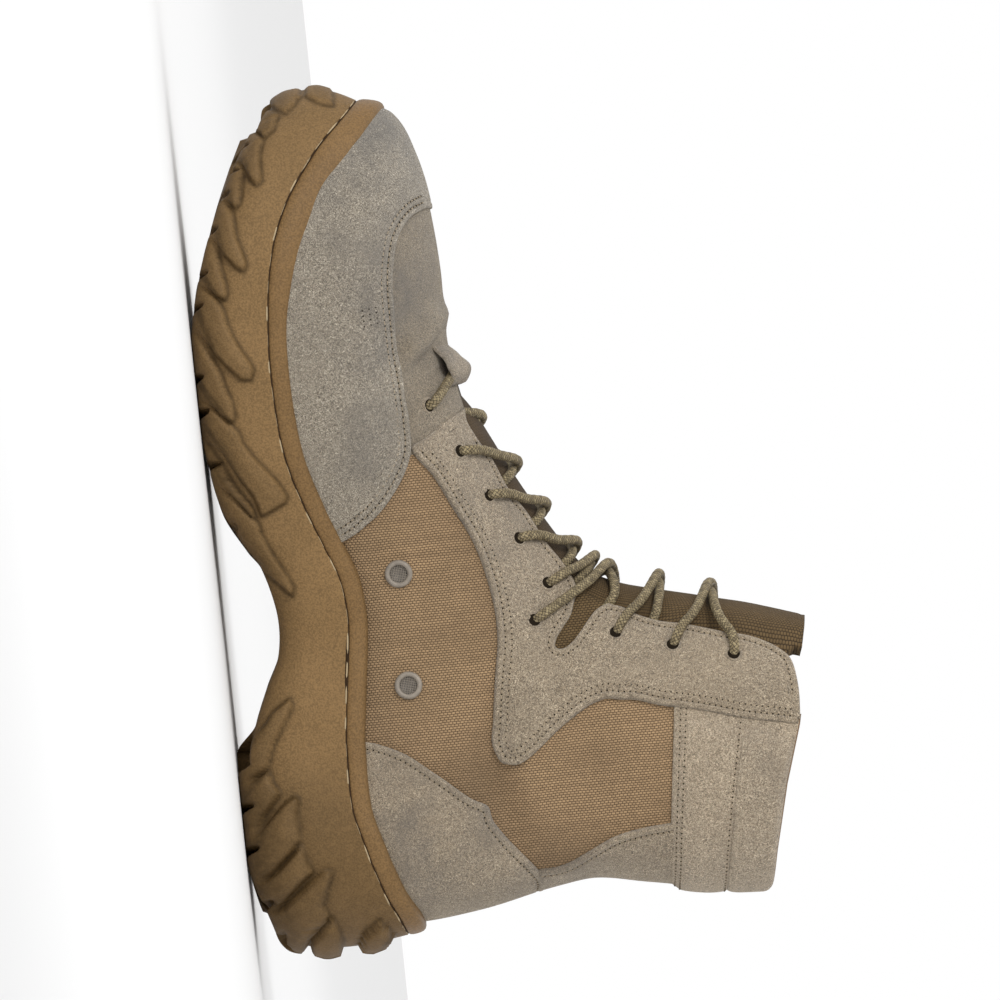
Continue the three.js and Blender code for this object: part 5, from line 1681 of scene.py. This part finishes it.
# Rows of small stitches, with dark domes of painted needle hole shade between them.
def makeSeams():
    # a rail, the one it faces, the distance from the edge, where the row starts and ends, and its lift
    rows = []
    for rail in guardRails:
        rows += [(rail, None, distance, 0.02, 0.9, overlay - 0.12) for distance in (2.6, 5.0)]
    for rail in counterRails + backstayRails:
        rows.append((rail, None, 2.6, 0.02, 0.985, overlay - 0.2))
    for railA, railB in eyestayRails:
        rows.append((railA, railB, 2.6, 0.1, 0.97, overlay - 0.2))
        rows.append((railB, railA, 2.6, 0.11, 0.97, overlay - 0.2))
        rows.append((railB, railA, 5.0, 0.13, 0.95, overlay - 0.05))
    threads, seats = [], []
    for rail, facing, distance, start, end, lift in rows:
        guide = inwardGuide(rail) if facing is None else formPoint(facing[:, 0], facing[:, 1])
        part = slice(int(start * len(rail)), int(end * len(rail)))
        s, v = insetLine(rail[:, 0], rail[:, 1], guide, distance)
        s, v = s[part], v[part]
        line = skin(s, v, lift)
        _, normal = formFrame(s, v)
        threads.append(line + normal * 0.02)
        _, places = evenPoints(line, seamPitch)
        shifted = np.clip(places + seamPitch / 2, 0, runOf(line)[-1])
        up = alongLine(line, shifted, normal)
        seats.append((alongLine(line, shifted, line) + up * 0.06, up))
    for side in (1, -1):
        for share in collar["stitchRows"]:
            v = np.linspace(0.43, 0.995, 70)
            s = sectionOnLine(v, collar["low"]) * (1 - share) + sectionOnLine(v, collar["top"]) * share
            point, normal = formFrame(s, side * v)
            line = point + normal * (collarLift(np.array([share])) + relief(point)[:, None] + 0.05)
            threads.append(line)
            shifted = np.arange(seamPitch / 2, runOf(line)[-1], seamPitch)
            up = alongLine(line, shifted, normal)
            seats.append((alongLine(line, shifted, line) + up * 0.12, up))
        # a short tack on the guard, three rows of four
        for row, along in itertools.product(range(3), range(4)):
            s, v = onSide(223.5 + along * 1.9 + row * 0.4, 62.3 + row * 2.3)
            _, up = formFrame(s, side * v)
            seats.append((skin(s, side * v, overlay)[None], up[None]))
    stitches("suede stitches", threads, finish["thread"], pitch=seamPitch, length=1.5, radius=0.17)
    needleHoleShades("suede needle hole shade", seats)


makeSeams()
print("seams made")

# The floor, the light and the camera.
floorMesh = bpy.data.meshes.new("floor")
floorMesh.from_pydata([(-6, -6, 0), (6, -6, 0), (6, 6, 0), (-6, 6, 0)], [], [(0, 1, 2, 3)])
floor = bpy.data.objects.new("floor", floorMesh)
scene.collection.objects.link(floor)
floorPaint, _, floorShader = newMaterial("pale floor", 0.9)
floorShader.inputs["Base Color"].default_value = (0.8, 0.8, 0.8, 1)
floorMesh.materials.append(floorPaint)

world = bpy.data.worlds.new("soft sky")
scene.world = world
world.use_nodes = True
background = world.node_tree.nodes["Background"]
background.inputs["Color"].default_value = (1, 1, 1, 1)
background.inputs["Strength"].default_value = 1.0


# A round soft light at a place, turned to a point. Its size is in metres and its power in watts.
def addLight(name, place, aim, size, power):
    data = bpy.data.lights.new(name, "AREA")
    data.shape = "DISK"
    data.size = size
    data.energy = power
    light = bpy.data.objects.new(name, data)
    scene.collection.objects.link(light)
    way = np.array(aim, float) - np.array(place, float)
    light.rotation_euler = Vector(way).to_track_quat("-Z", "Y").to_euler()
    light.location = place


addLight("key", (1.5, 1.9, 1.2), (0, 0, 0.1), 0.7, 30)
addLight("back", (-0.2, -1.2, 1.1), (0, 0, 0.1), 1.0, 1.5)

# The camera looks square at the inner side from far off, turned about its axis; across is the breadth it
# takes in.
view = {"aimX": 156.0, "aimZ": 105.0, "distance": 6.0, "across": 364.2, "roll": (-0.1051, 0.9945)}
cameraData = bpy.data.cameras.new("camera")
camera = bpy.data.objects.new("camera", cameraData)
scene.collection.objects.link(camera)
cameraData.sensor_width = 36
cameraData.lens = 36 * view["distance"] * 1000 / view["across"]
rightX, rightZ = view["roll"]
aim = (np.array([view["aimX"], 0, view["aimZ"]]) + bootPlace) / 1000
camera.matrix_world = Matrix((
    (rightX, rightZ, 0, aim[0]),
    (0, 0, 1, view["distance"]),
    (rightZ, -rightX, 0, aim[2]),
    (0, 0, 0, 1),
))
scene.camera = camera
scene.view_settings.view_transform = "Standard"
print("stage made")
